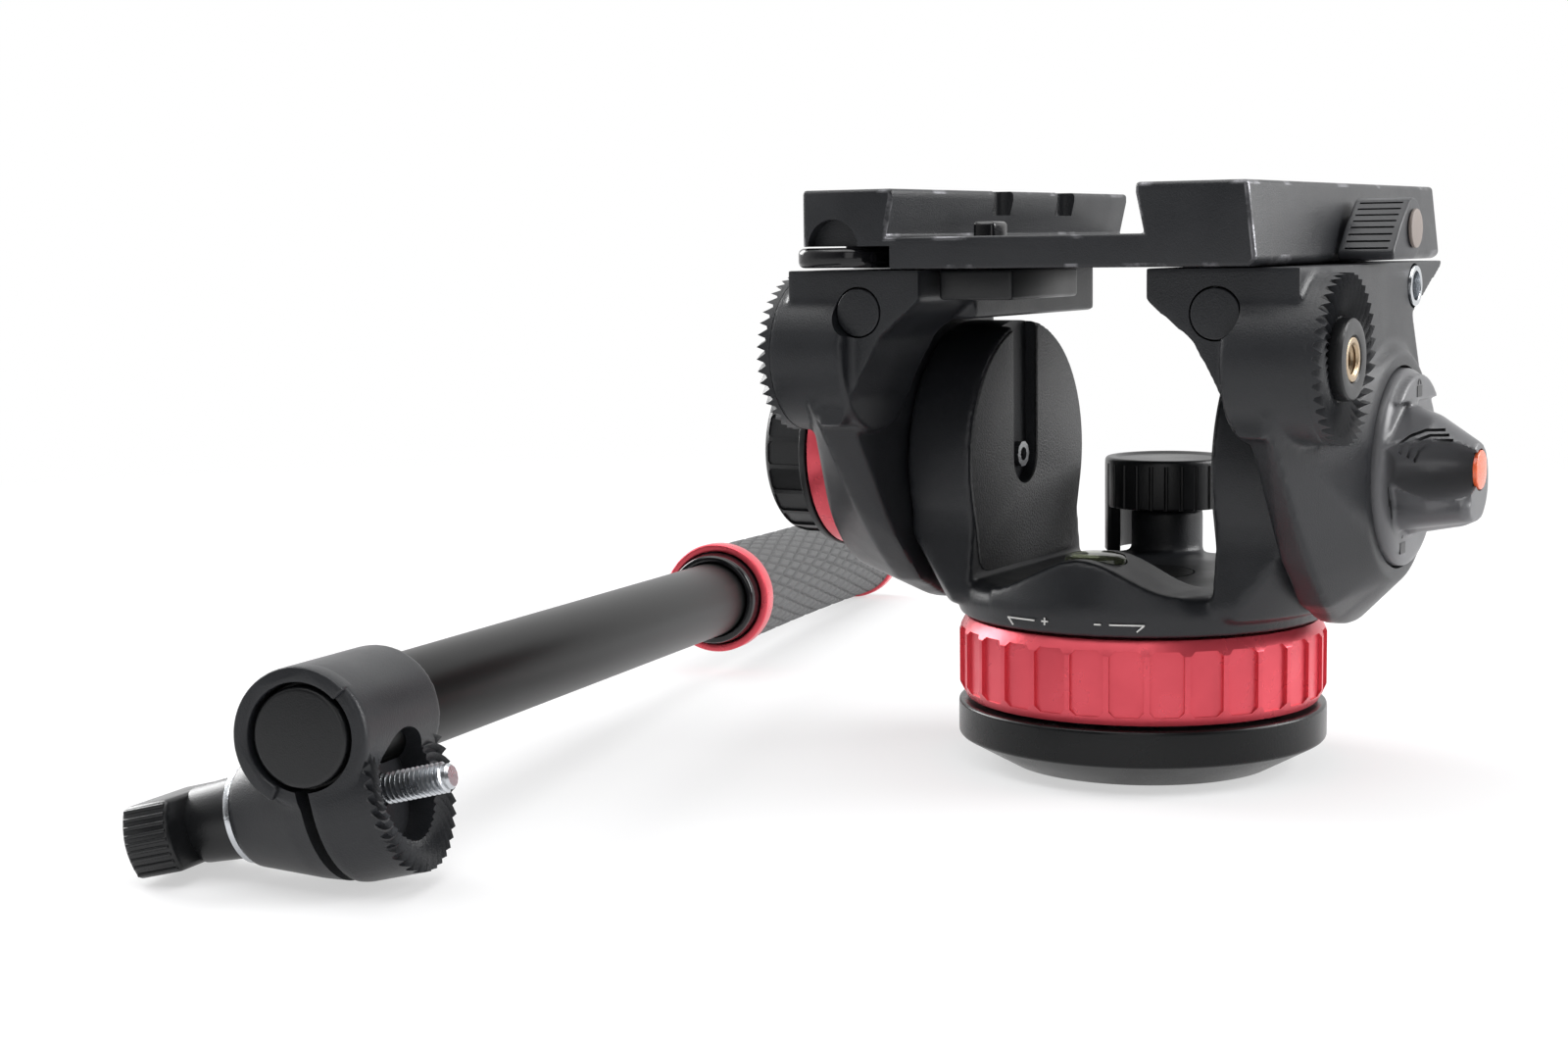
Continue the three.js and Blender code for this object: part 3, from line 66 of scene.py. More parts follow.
# How far a cutter passes what it cuts, and the play between fitted pieces, in millimetres.
PAST = 4.0
PLAY = 0.3
# Points that are nearer to each other than this, in millimetres, are one.
MERGE = 0.0005
# Faces that meet at more than this angle have a corner between them.
CORNER = math.radians(40)


class Axis(Enum):
    """Which way a turned or extruded shape runs."""

    X = "x"
    Y = "y"
    Z = "z"


class Join(Enum):
    """How a tool shape acts on the shape being made."""

    CUT = "DIFFERENCE"
    KEEP = "INTERSECT"
    ADD = "UNION"


class Side(Enum):
    """The operator's left or right hand side of the head."""

    LEFT = "left"
    RIGHT = "right"


# How a shape made about Z is turned to run along each axis.
TURN_TO = {
    Axis.X: Matrix.Rotation(math.radians(90), 4, "Y"),
    Axis.Y: Matrix.Rotation(math.radians(-90), 4, "X"),
    Axis.Z: Matrix.Identity(4),
}
# How an outline and its depth are set: the outline is (y, z) for X, (x, z) for Y, (x, y) for Z.
PRISM_TO = {
    Axis.X: Matrix(((0, 0, 1, 0), (1, 0, 0, 0), (0, 1, 0, 0), (0, 0, 0, 1))),
    Axis.Y: Matrix(((1, 0, 0, 0), (0, 0, 1, 0), (0, 1, 0, 0), (0, 0, 0, 1))),
    Axis.Z: Matrix.Identity(4),
}


def rounded(corners: Iterable[tuple[float, ...]], steps: int = 5) -> list[Flat]:
    """Rounds the corners of a closed outline.

    Args:
        corners: Points (u, v) or (u, v, radius); a corner without a radius stays sharp.
        steps: Number of segments in each rounded corner.

    Returns:
        The outline's points, with each round corner as a curve that touches both sides.
    """
    corners = [tuple(corner) + (0.0,) * (3 - len(corner)) for corner in corners]
    points: list[Flat] = []
    for index, (u, v, radius) in enumerate(corners):
        here = Vector((u, v))
        before = Vector(corners[index - 1][:2]) - here
        after = Vector(corners[(index + 1) % len(corners)][:2]) - here
        if radius <= 0 or before.length == 0 or after.length == 0:
            points.append((u, v))
            continue
        half = before.angle(after) / 2
        reach = min(radius / math.tan(half), before.length / 2, after.length / 2)
        start, end = here + before.normalized() * reach, here + after.normalized() * reach
        for step in range(steps + 1):
            share = step / steps
            spot = start * (1 - share) ** 2 + here * 2 * share * (1 - share) + end * share**2
            points.append((spot.x, spot.y))
    return points


def arc(u: float, v: float, radius: float, start: float, end: float, steps: int) -> list[Flat]:
    """Returns points along an arc about (u, v), from one angle to another in degrees."""
    angles = [math.radians(start + (end - start) * step / steps) for step in range(steps + 1)]
    return [(u + radius * math.cos(angle), v + radius * math.sin(angle)) for angle in angles]


def oval(x: float, y: float, z: float, half_y: float, half_z: float) -> list[Spot]:
    """Returns points round an ellipse that faces X."""
    count = 48
    round_once = arc(0, 0, 1, 0, 360, count)[:-1]
    return [(x, y + half_y * u, z + half_z * v) for u, v in round_once]


def disc(radius: float, low: float, high: float, edge: float = 0.0) -> list[Flat]:
    """Returns the profile of a cylinder whose two rims are rounded by an edge radius."""
    return rounded([(0, low), (radius, low, edge), (radius, high, edge), (0, high)])


def hoop(inner: float, outer: float, low: float, high: float, edge: float = 0.0) -> list[Flat]:
    """Returns the profile of a ring whose four rims are rounded by an edge radius."""
    corners = [(inner, low, edge), (outer, low, edge), (outer, high, edge), (inner, high, edge)]
    return rounded(corners, steps=3)


class Form:
    """A shape in the making, in millimetres."""

    def __init__(self, mesh: bmesh.types.BMesh | None = None) -> None:
        """Starts from a bmesh, or from nothing."""
        self.mesh = mesh or bmesh.new()

    @classmethod
    def turned(cls, profile: Sequence[Flat], axis: Axis = Axis.Z, centre: Spot = (0, 0, 0),
               steps: int = 96) -> "Form":
        """Turns a profile of (radius, height) points about an axis.

        Args:
            profile: Points from the axis and back to it, or round a ring's section.
            axis: The axis to turn about, along which heights are measured.
            centre: A point on the axis.
            steps: Number of segments of the full turn.

        Returns:
            The closed turned shape.
        """
        form = cls()
        spots = [form.mesh.verts.new((radius, 0, height)) for radius, height in profile]
        edges = [form.mesh.edges.new(pair) for pair in zip(spots, spots[1:])]
        if profile[0][0] > 0:
            edges.append(form.mesh.edges.new((spots[-1], spots[0])))
        bmesh.ops.spin(form.mesh, geom=spots + edges, cent=(0, 0, 0), axis=(0, 0, 1), dvec=(0, 0, 0),
                       angle=math.tau, steps=steps, use_merge=True, use_duplicate=False)
        return form.cleaned().moved(Matrix.Translation(centre) @ TURN_TO[axis])

    @classmethod
    def prism(cls, outline: Sequence[Flat], start: float, end: float, axis: Axis = Axis.Z) -> "Form":
        """Extrudes a flat outline along an axis, from one place on it to another."""
        form = cls()
        face = form.mesh.faces.new([form.mesh.verts.new((u, v, start)) for u, v in outline])
        grown = bmesh.ops.extrude_face_region(form.mesh, geom=[face], use_keep_orig=True)["geom"]
        raised = [item for item in grown if isinstance(item, bmesh.types.BMVert)]
        bmesh.ops.translate(form.mesh, verts=raised, vec=(0, 0, end - start))
        return form.moved(PRISM_TO[axis]).cleaned()

    @classmethod
    def block(cls, low: Spot, high: Spot) -> "Form":
        """Makes a box between two corners."""
        form = cls()
        bmesh.ops.create_cube(form.mesh, size=1)
        sides = [top - bottom for bottom, top in zip(low, high)]
        middle = [(top + bottom) / 2 for bottom, top in zip(low, high)]
        return form.moved(Matrix.Translation(middle) @ Matrix.Diagonal((*sides, 1)))

    @classmethod
    def ball(cls, centre: Spot, halves: Spot) -> "Form":
        """Makes an ellipsoid about a centre with its three half sizes."""
        form = cls()
        bmesh.ops.create_icosphere(form.mesh, subdivisions=4, radius=1)
        return form.moved(Matrix.Translation(centre) @ Matrix.Diagonal((*halves, 1)))

    @classmethod
    def hull(cls, *spots: Spot) -> "Form":
        """Wraps points in their convex hull."""
        form = cls()
        given = [form.mesh.verts.new(spot) for spot in spots]
        made = bmesh.ops.convex_hull(form.mesh, input=given, use_existing_faces=False)
        inside = {item for item in made["geom_interior"] if isinstance(item, bmesh.types.BMVert)}
        bmesh.ops.delete(form.mesh, geom=list(inside), context="VERTS")
        return form.cleaned()

    def cleaned(self) -> "Form":
        """Merges doubles and points the faces outwards."""
        bmesh.ops.remove_doubles(self.mesh, verts=self.mesh.verts, dist=MERGE)
        bmesh.ops.recalc_face_normals(self.mesh, faces=self.mesh.faces)
        return self

    def moved(self, matrix: Matrix) -> "Form":
        """Moves, turns or scales the whole shape."""
        bmesh.ops.transform(self.mesh, matrix=matrix, verts=self.mesh.verts)
        if matrix.determinant() < 0:
            bmesh.ops.recalc_face_normals(self.mesh, faces=self.mesh.faces)
        return self

    def copied(self) -> "Form":
        """Returns a copy of the shape."""
        return Form(self.mesh.copy())

    def mirrored(self) -> "Form":
        """Returns a copy seen in the head's middle plane."""
        return self.copied().moved(Matrix.Diagonal((-1, 1, 1, 1)))

    def with_forms(self, *others: "Form") -> "Form":
        """Takes other shapes in as further shells of the same piece."""
        for other in others:
            carrier = bpy.data.meshes.new("shell")
            other.mesh.to_mesh(carrier)
            self.mesh.from_mesh(carrier)
            bpy.data.meshes.remove(carrier)
        return self

    def repeated(self, count: int, centre: Spot = (0, 0, 0)) -> "Form":
        """Sets copies of the shape evenly round an upright axis."""
        whole = Form()
        about = Matrix.Translation(centre)
        for index in range(count):
            turn = Matrix.Rotation(math.tau * index / count, 4, "Z")
            whole.with_forms(self.copied().moved(about @ turn @ about.inverted()))
        return whole

    def bevelled(self, width: float, segments: int = 3) -> "Form":
        """Rounds the edges at the shape's corners.

        Args:
            width: Width of the rounding.
            segments: Segments across it.

        Returns:
            The shape itself, with its new faces marked in an attribute that a finish reads as rubbed paint and a
            painted edge highlight.
        """
        edge_wear_and_highlight = self.mesh.faces.layers.float.get("edge_wear_and_highlight") or self.mesh.faces.layers.float.new("edge_wear_and_highlight")
        sharp = [edge for edge in self.mesh.edges
                 if edge.is_manifold and edge.calc_face_angle(0) > CORNER]
        made = bmesh.ops.bevel(self.mesh, geom=sharp, offset=width, offset_type="OFFSET",
                               segments=segments, profile=0.5, affect="EDGES", clamp_overlap=True,
                               material=-1)
        for face in made["faces"]:
            face[edge_wear_and_highlight] = 1.0
        return self

    def as_object(self, name: str) -> bpy.types.Object:
        """Makes a Blender object of the shape."""
        mesh = bpy.data.meshes.new(name)
        self.mesh.to_mesh(mesh)
        made = bpy.data.objects.new(name, mesh)
        bpy.context.scene.collection.objects.link(made)
        return made

    def _through(self, add_modifiers: Callable[[bpy.types.Object], None]) -> "Form":
        """Sends the shape through modifiers and takes back what they make of it."""
        carrier = self.as_object("in_work")
        add_modifiers(carrier)
        seen = carrier.evaluated_get(bpy.context.evaluated_depsgraph_get())
        worked = seen.to_mesh()
        made = bmesh.new()
        made.from_mesh(worked)
        seen.to_mesh_clear()
        plain = carrier.data
        bpy.data.objects.remove(carrier)
        bpy.data.meshes.remove(plain)
        return Form(made)

    def joined(self, how: Join, *tools: "Form") -> "Form":
        """Adds, cuts or keeps what one or more tool shapes cover."""
        carriers = [tool.as_object("tool") for tool in tools]

        def add_modifiers(body: bpy.types.Object) -> None:
            """Gives the body one boolean for each tool."""
            for carrier in carriers:
                step = body.modifiers.new("join", "BOOLEAN")
                step.operation, step.solver, step.object = how.value, "EXACT", carrier

        result = self._through(add_modifiers)
        for carrier in carriers:
            plain = carrier.data
            bpy.data.objects.remove(carrier)
            bpy.data.meshes.remove(plain)
        return result

    def cast(self, grain: float, softening: int) -> "Form":
        """Melts overlapping shells into one casting with soft corners.

        Args:
            grain: Edge length of the new surface's faces.
            softening: How many times the surface is smoothed.

        Returns:
            The casting.
        """
        def add_modifiers(body: bpy.types.Object) -> None:
            """Gives the body a voxel remesh and a smoothing."""
            remesh = body.modifiers.new("melt", "REMESH")
            remesh.mode, remesh.voxel_size, remesh.adaptivity = "VOXEL", grain, 0.0
            smooth = body.modifiers.new("soften", "SMOOTH")
            smooth.iterations = softening

        return self._through(add_modifiers)


def combined(tree: bpy.types.NodeTree, operation: str, first: bpy.types.NodeSocket,
             second: bpy.types.NodeSocket) -> bpy.types.NodeSocket:
    """Returns what a math operation makes of two values."""
    node = tree.nodes.new("ShaderNodeMath")
    node.operation = operation
    tree.links.new(first, node.inputs[0])
    tree.links.new(second, node.inputs[1])
    return node.outputs["Value"]


def ranged(tree: bpy.types.NodeTree, value: bpy.types.NodeSocket, given: Flat,
           wanted: Flat = (0.0, 1.0), smooth: bool = False) -> bpy.types.NodeSocket:
    """Carries a value from one range to another.

    Args:
        tree: The nodes to add to.
        value: The value.
        given: The lowest and highest value that count.
        wanted: What these two become.
        smooth: Whether the change eases in and out.

    Returns:
        The new value, which stays within the wanted range.
    """
    node = tree.nodes.new("ShaderNodeMapRange")
    if smooth:
        node.interpolation_type = "SMOOTHSTEP"
    for name, end in zip(("From Min", "From Max", "To Min", "To Max"), (*given, *wanted)):
        node.inputs[name].default_value = end
    tree.links.new(value, node.inputs["Value"])
    return node.outputs["Result"]


@dataclass(frozen=True)
class Finish:
    """A finish with a fine grain, cloudy colour and roughness, and paler bare metal in specks on its rounded
    edges, partly rubbed paint and partly a painted highlight.

    Sizes of the grain and the clouds are in millimetres. The range of noise is what nearly all of
    a noise's values lie in, and the details say how many octaves each noise has.
    """

    name: str
    slot: str
    colour: Colour
    cloud: Colour
    rough: float
    metal: float = 0.0
    rough_spread: float = 0.06
    grain: float = 0.4
    grain_depth: float = 0.12
    cloud_size: float = 14.0
    coat: float = 0.0
    clear: float = 0.0
    coat_rough: float = 0.08
    shine: float = 0.5
    edge_wear_and_highlight: Colour | None = None
    wear_and_highlight_share: float = 0.5
    wear_and_highlight_edge: float = 0.09
    grains_in_speck: float = 26.0
    noise_range: tuple[float, float] = (0.3, 0.7)
    cloud_detail: float = 4.0
    grain_detail: float = 2.0
    speck_detail: float = 9.0

    def material(self) -> bpy.types.Material:
        """Returns the finish's material, which is made on its first use."""
        made = bpy.data.materials.get(self.name)
        if made is None:
            made = bpy.data.materials.new(self.name)
            made.use_nodes = True
            self._wire(made.node_tree)
        return made

    def _wire(self, tree: bpy.types.NodeTree) -> None:
        """Sets up the nodes of the material."""
        shader = tree.nodes["Principled BSDF"]
        shader.inputs["Metallic"].default_value = self.metal
        shader.inputs["Specular IOR Level"].default_value = self.shine
        shader.inputs["Coat Weight"].default_value = self.coat
        shader.inputs["Coat Roughness"].default_value = self.coat_rough
        shader.inputs["Transmission Weight"].default_value = self.clear
        place = tree.nodes.new("ShaderNodeTexCoord").outputs["Object"]
        cloud = self._noise(tree, place, self.cloud_size, self.cloud_detail)
        colour = self._mix(tree, cloud, self.colour, self.cloud)
        rough = ranged(tree, cloud, self.noise_range,
                       (self.rough - self.rough_spread, self.rough + self.rough_spread))
        grain = self._noise(tree, place, self.grain, self.grain_detail)
        bump = tree.nodes.new("ShaderNodeBump")
        bump.inputs["Strength"].default_value = self.grain_depth
        bump.inputs["Distance"].default_value = self.grain * MM
        tree.links.new(grain, bump.inputs["Height"])
        tree.links.new(bump.outputs["Normal"], shader.inputs["Normal"])
        # Specks on the rounded edges turn a paler bare metal: partly rubbed paint, partly a painted highlight.
        if self.edge_wear_and_highlight is not None:
            edge_specks = self._wear_and_highlight_specks(tree, place)
            colour = self._mix(tree, edge_specks, colour, self.edge_wear_and_highlight)
            tree.links.new(edge_specks, shader.inputs["Metallic"])
        tree.links.new(colour, shader.inputs["Base Color"])
        tree.links.new(rough, shader.inputs["Roughness"])

    def _noise(self, tree: bpy.types.NodeTree, place: bpy.types.NodeSocket, size: float,
               detail: float) -> bpy.types.NodeSocket:
        """Returns a noise whose blotches have a size in millimetres."""
        noise = tree.nodes.new("ShaderNodeTexNoise")
        noise.inputs["Scale"].default_value = 1 / (size * MM)
        noise.inputs["Detail"].default_value = detail
        tree.links.new(place, noise.inputs["Vector"])
        return noise.outputs["Fac"]

    def _mix(self, tree: bpy.types.NodeTree, share: bpy.types.NodeSocket,
             first: Colour | bpy.types.NodeSocket, second: Colour) -> bpy.types.NodeSocket:
        """Returns a colour between two, by a share that varies over the surface."""
        mix = tree.nodes.new("ShaderNodeMix")
        mix.data_type = "RGBA"
        tree.links.new(share, mix.inputs["Factor"])
        if isinstance(first, bpy.types.NodeSocket):
            tree.links.new(first, mix.inputs["A"])
        else:
            mix.inputs["A"].default_value = (*first, 1)
        mix.inputs["B"].default_value = (*second, 1)
        return mix.outputs["Result"]

    def _wear_and_highlight_specks(self, tree: bpy.types.NodeTree, place: bpy.types.NodeSocket) -> bpy.types.NodeSocket:
        """Returns the specks along the rounded edges that turn paler, partly rubbed paint and partly a painted
        highlight.
        """
        edge = tree.nodes.new("ShaderNodeAttribute")
        edge.attribute_name = "edge_wear_and_highlight"
        blotch = self._noise(tree, place, self.grain * self.grains_in_speck, self.speck_detail)
        unmarked = 1 - self.wear_and_highlight_share
        specks = ranged(tree, blotch, (unmarked, unmarked + self.wear_and_highlight_edge))
        return combined(tree, "MULTIPLY", edge.outputs["Fac"], specks)


# Pale grey for the platform's rounded edges: partly rubbed paint, partly a painted edge highlight.
EDGE_WEAR_AND_HIGHLIGHT = (0.16, 0.16, 0.17)
PAINT = Finish("satin_black_paint", "satin_paint", (0.010, 0.011, 0.013), (0.019, 0.020, 0.023), 0.37,
               grain=0.32, grain_depth=0.24, shine=0.36)
WORN_AND_HIGHLIT_PAINT = Finish("worn_and_highlit_black_paint", "satin_paint", (0.010, 0.011, 0.013), (0.019, 0.020, 0.023),
                      0.37, grain=0.32, grain_depth=0.24, shine=0.36, edge_wear_and_highlight=EDGE_WEAR_AND_HIGHLIGHT, wear_and_highlight_share=0.44)
LEVER_PAINT = Finish("lever_black_paint", "lever_paint", (0.020, 0.021, 0.024), (0.034, 0.035, 0.039),
                     0.34, grain=0.32, grain_depth=0.14, shine=0.3)
SPECKLED = Finish("speckled_cover", "satin_paint", (0.012, 0.012, 0.013), (0.085, 0.086, 0.088), 0.55,
                  grain=0.5, grain_depth=0.5, cloud_size=1.1, shine=0.5)
PLASTIC = Finish("matt_black_plastic", "black_plastic", (0.005, 0.0055, 0.006), (0.010, 0.0105, 0.012),
                 0.34, grain=0.3, grain_depth=0.15, shine=0.4)
FOOT_BLACK = Finish("foot_black", "black_plastic", (0.003, 0.0035, 0.004), (0.006, 0.0065, 0.007), 0.26,
                    grain=0.6, grain_depth=0.06, shine=0.25)
DIAL_GREY = Finish("dark_grey_plastic", "black_plastic", (0.085, 0.086, 0.091), (0.112, 0.113, 0.119),
                   0.36, grain=0.3, grain_depth=0.12, shine=0.5)
PALE_GREY = Finish("pale_grey_plastic", "black_plastic", (0.15, 0.15, 0.155), (0.19, 0.19, 0.195), 0.5,
                   grain=0.3, grain_depth=0.1)
GLOSS = Finish("gloss_black_plastic", "gloss_plastic", (0.004, 0.004, 0.005), (0.008, 0.008, 0.009), 0.15,
               grain=0.6, grain_depth=0.05, coat=0.25, shine=0.3)
RED = Finish("red_anodised_aluminium", "red_anodised", (0.74, 0.085, 0.115), (0.64, 0.060, 0.085), 0.30,
             metal=0.45, grain=0.25, grain_depth=0.10, cloud_size=9)
STEEL = Finish("turned_steel", "steel", (0.50, 0.51, 0.52), (0.38, 0.39, 0.40), 0.30, metal=1.0)
ZINC = Finish("bright_zinc", "zinc", (0.62, 0.64, 0.66), (0.50, 0.52, 0.55), 0.24, metal=1.0)
BRASS = Finish("dull_brass", "brass", (0.46, 0.36, 0.25), (0.34, 0.25, 0.15), 0.38, metal=0.9)
INNER_METAL = Finish("greased_metal", "inner_metal", (0.30, 0.31, 0.32), (0.20, 0.21, 0.22), 0.40,
                     metal=0.9)
CAP_BROWN = Finish("warm_grey_cap", "lever_cap", (0.17, 0.14, 0.125), (0.22, 0.185, 0.165), 0.45)
LENS = Finish("level_lens_glass", "level_lens", (0.30, 0.33, 0.22), (0.24, 0.27, 0.17), 0.06,
              rough_spread=0.02, grain_depth=0.0, clear=0.85)
BADGE = Finish("orange_red_badge", "orange_badge", (0.70, 0.075, 0.022), (0.80, 0.16, 0.05), 0.28,
               grain=1.2, grain_depth=0.25, cloud_size=1.4, coat=0.5)
TUBE = Finish("gloss_black_tube", "gloss_black_tube", (0.220, 0.220, 0.225), (0.270, 0.270, 0.276), 0.24,
              metal=0.4, rough_spread=0.04, cloud_size=40, grain=1.2, grain_depth=0.03, coat=0.4)
RUBBER = Finish("grey_grip_rubber", "grip_rubber", (0.065, 0.066, 0.067), (0.095, 0.096, 0.097), 0.60,
                grain=0.25, grain_depth=0.3, cloud_size=3, shine=0.5)
PRINT = Finish("white_print", "satin_paint", (0.72, 0.72, 0.70), (0.60, 0.60, 0.58), 0.5)
NODE_FINISHES = {
    "black_plastic": PLASTIC, "gloss_plastic": GLOSS, "red_anodised": RED, "steel": STEEL,
    "zinc": ZINC, "brass": BRASS, "inner_metal": INNER_METAL, "satin_paint": PAINT,
    "lever_cap": CAP_BROWN, "level_lens": LENS, "orange_badge": BADGE, "gloss_black_tube": TUBE,
    "grip_rubber": RUBBER, "lever_paint": LEVER_PAINT,
}


def joint(name: str) -> dict:
    """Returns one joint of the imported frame."""
    return next(item for item in frame["joints"] if item["name"] == name)


def head_place() -> Matrix:
    """Returns where the head's own millimetres lie: about its pan axis, on the ground."""
    x, y, _ = joint("pan")["pos_m"]
    return Matrix.Translation((x, y, 0)) @ Matrix.Scale(MM, 4)


def bar_place() -> Matrix:
    """Returns where the bar's own millimetres lie: about its tube's end, with the screw along X."""
    along = Vector(joint("bar_turn")["axis"]).normalized()
    across = Vector(joint("knob_turn")["axis"])
    across = (across - along * across.dot(along)).normalized()
    turn = Matrix((across, along, across.cross(along))).transposed().to_4x4()
    return Matrix.Translation(joint("bar_turn")["pos_m"]) @ turn @ Matrix.Scale(MM, 4)


def set_piece(name: str, form: Form, place: Matrix, body: str, finish: Finish,
              nodes: Sequence[str] = (), sharp: float = 32) -> bpy.types.Object:
    """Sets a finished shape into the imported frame.

    Args:
        name: The piece's name.
        form: Its shape in its maker's millimetres.
        place: Where those millimetres lie in the frame.
        body: The body that it rides on.
        finish: What it is finished in.
        nodes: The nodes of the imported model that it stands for.
        sharp: The angle in degrees above which an edge is drawn sharp.

    Returns:
        The piece's object.
    """
    made = form.moved(place).as_object(name)
    for polygon in made.data.polygons:
        polygon.use_smooth = True
    made.data.set_sharp_from_angle(angle=math.radians(sharp))
    made.data.materials.append(finish.material())
    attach(made, body)
    if nodes:
        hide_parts(*nodes)
    LOG.info("%s: %d faces on %s", name, len(made.data.polygons), body)
    return made


def dress_nodes(names: Iterable[str]) -> None:
    """Gives nodes that are shown as they are the finish of their material slot."""
    slots = {part["node"]: part["material_slot"] for part in frame["record"]["subparts"]}
    for name in names:
        node = frame["nodes"][name]
        node.data.materials.clear()
        node.data.materials.append(NODE_FINISHES[slots[name]].material())
        LOG.info("%s dressed as %s", name, slots[name])


def crown(inner: float, outer: float, back: float, root: float, tip: float, swirl: float = 16,
          teeth: int = 40) -> Form:
    """Makes a flat ring of curved saw teeth that face up Z and grow lower towards its hole.

    Args:
        inner: Radius of the ring's hole.
        outer: Radius at the teeth's outer ends.
        back: Height of the ring's back.
        root: Height of the valleys.
        tip: Height of the tips at their outer ends.
        swirl: How far a tooth's outer end is turned ahead of its inner end, in degrees.
        teeth: Number of teeth.

    Returns:
        The ring.
    """
    rise_over_tooth = (0.0, 0.45, 1.0, 0.12)
    inner_rise = 0.3
    bend = 1.5
    rings = 6
    reach = [inner + (outer - inner) * index / rings for index in range(rings + 1)]
    profile = [(inner, back), *[(radius, root) for radius in reach], (outer, back)]
    steps = teeth * len(rise_over_tooth)
    form = Form.turned(profile, steps=steps)
    for vert in form.mesh.verts:
        radius = math.hypot(vert.co.x, vert.co.y)
        share = max(0.0, (radius - inner) / (outer - inner))
        index = round(math.atan2(vert.co.y, vert.co.x) / math.tau * steps) % len(rise_over_tooth)
        if vert.co.z > (root + back) / 2:
            rise = inner_rise + (1 - inner_rise) * share
            vert.co.z = root + (tip - root) * rise_over_tooth[index] * rise
        vert.co.xy = Matrix.Rotation(math.radians(swirl) * share**bend, 2) @ vert.co.xy
    return form


def panelled(body: Form, count: int, reach: float, low: float, high: float, share: float,
             chamfer: float, radius: float) -> Form:
    """Cuts flat grip panels with cropped corners evenly round a body turned about Z.

    Args:
        body: The turned body.
        count: Number of panels.
        reach: Distance of the panels' floors from the axis.
        low: Height of the panels' lower edges.
        high: Height of the panels' upper edges.
        share: How much of each pitch the panel takes.
        chamfer: Size of the cropped corners.
        radius: The body's radius, at which the pitch is measured.

    Returns:
        The body with its panels cut.
    """
    outside = 1.2
    half = math.pi * radius / count * share
    outline = [(-half, low + chamfer), (-half + chamfer, low), (half - chamfer, low),
               (half, low + chamfer), (half, high - chamfer), (half - chamfer, high),
               (-half + chamfer, high), (-half, high - chamfer)]
    cutter = Form.prism(outline, reach, radius * outside, Axis.X)
    return body.joined(Join.CUT, cutter.repeated(count))


@dataclass
class BaseFoot:
    """The foot that stands on the tripod, with its screws in pockets under it."""

    rim_radius: float = 41.65
    height: float = 14.2
    contact_radius: float = 30.0
    chamfer_height: float = 6.4
    socket_radius: float = 7.2
    socket_depth: float = 11.8
    socket_round: float = 0.5
    contact_round: float = 0.6
    chamfer_round: float = 1.2
    top_round: float = 0.9
    screw_count: int = 3
    screw_circle: float = 21.0
    pocket_radius: float = 3.4
    pocket_depth: float = 3.2
    screw_radius: float = 2.9
    screw_low: float = 0.6
    screw_high: float = 3.4
    screw_round: float = 0.4
    key_radius: float = 1.5
    key_depth: float = 2.0
    place: Matrix = field(default_factory=head_place)

    def build(self) -> None:
        """Builds the foot with its base screws, and dresses what stands in it."""
        profile = rounded([(0, self.socket_depth), (self.socket_radius, self.socket_depth),
                           (self.socket_radius, 0, self.socket_round),
                           (self.contact_radius, 0, self.contact_round),
                           (self.rim_radius, self.chamfer_height, self.chamfer_round),
                           (self.rim_radius, self.height, self.top_round), (0, self.height)])
        at_screw = (self.screw_circle, 0, 0)
        pocket = Form.turned(disc(self.pocket_radius, -PAST, self.pocket_depth), centre=at_screw, steps=32)
        foot = Form.turned(profile, steps=160).joined(Join.CUT, pocket.repeated(self.screw_count))
        set_piece("base_foot", foot, self.place, "base", FOOT_BLACK, ["base_plate"])
        head = Form.turned(disc(self.screw_radius, self.screw_low, self.screw_high, self.screw_round),
                           centre=at_screw, steps=32)
        hexagon = Form.turned(disc(self.key_radius, -PAST, self.key_depth), centre=at_screw, steps=6)
        screws = head.joined(Join.CUT, hexagon).repeated(self.screw_count)
        set_piece("base_screws", screws, self.place, "base", STEEL)
        dress_nodes(["tripod_thread_bushing", "pan_axle", "pan_cartridge_cup", "pan_axle_nut"])


@dataclass
class DragRing:
    """The red ring that sets the drag of the pan."""

    radius: float = 41.5
    inner_radius: float = 35.6
    bottom: float = 15.06
    top: float = 33.56
    rim_inset: float = 1.7
    rim_height: float = 3.2
    rim_round: float = 1.0
    edge_round: float = 0.3
    panels: int = 30
    panel_depth: float = 1.05
    panel_low: float = 1.9
    panel_high: float = 2.3
    panel_share: float = 0.86
    panel_crop: float = 1.2
    place: Matrix = field(default_factory=head_place)

    def build(self) -> None:
        """Builds the ring: smooth sloping rims, and flat panels between narrow ridges."""
        profile = rounded([(self.inner_radius, self.bottom, self.edge_round),
                           (self.radius - self.rim_inset, self.bottom, self.edge_round),
                           (self.radius, self.bottom + self.rim_height, self.rim_round),
                           (self.radius, self.top - self.rim_height, self.rim_round),
                           (self.radius - self.rim_inset, self.top, self.edge_round),
                           (self.inner_radius, self.top, self.edge_round)], steps=3)
        ring = panelled(Form.turned(profile, steps=180), self.panels, reach=self.radius - self.panel_depth,
                        low=self.bottom + self.panel_low, high=self.top - self.panel_high,
                        share=self.panel_share, chamfer=self.panel_crop, radius=self.radius)
        set_piece("drag_grip_ring", ring, self.place, "drag_ring", RED, ["pan_drag_ring"], sharp=14)


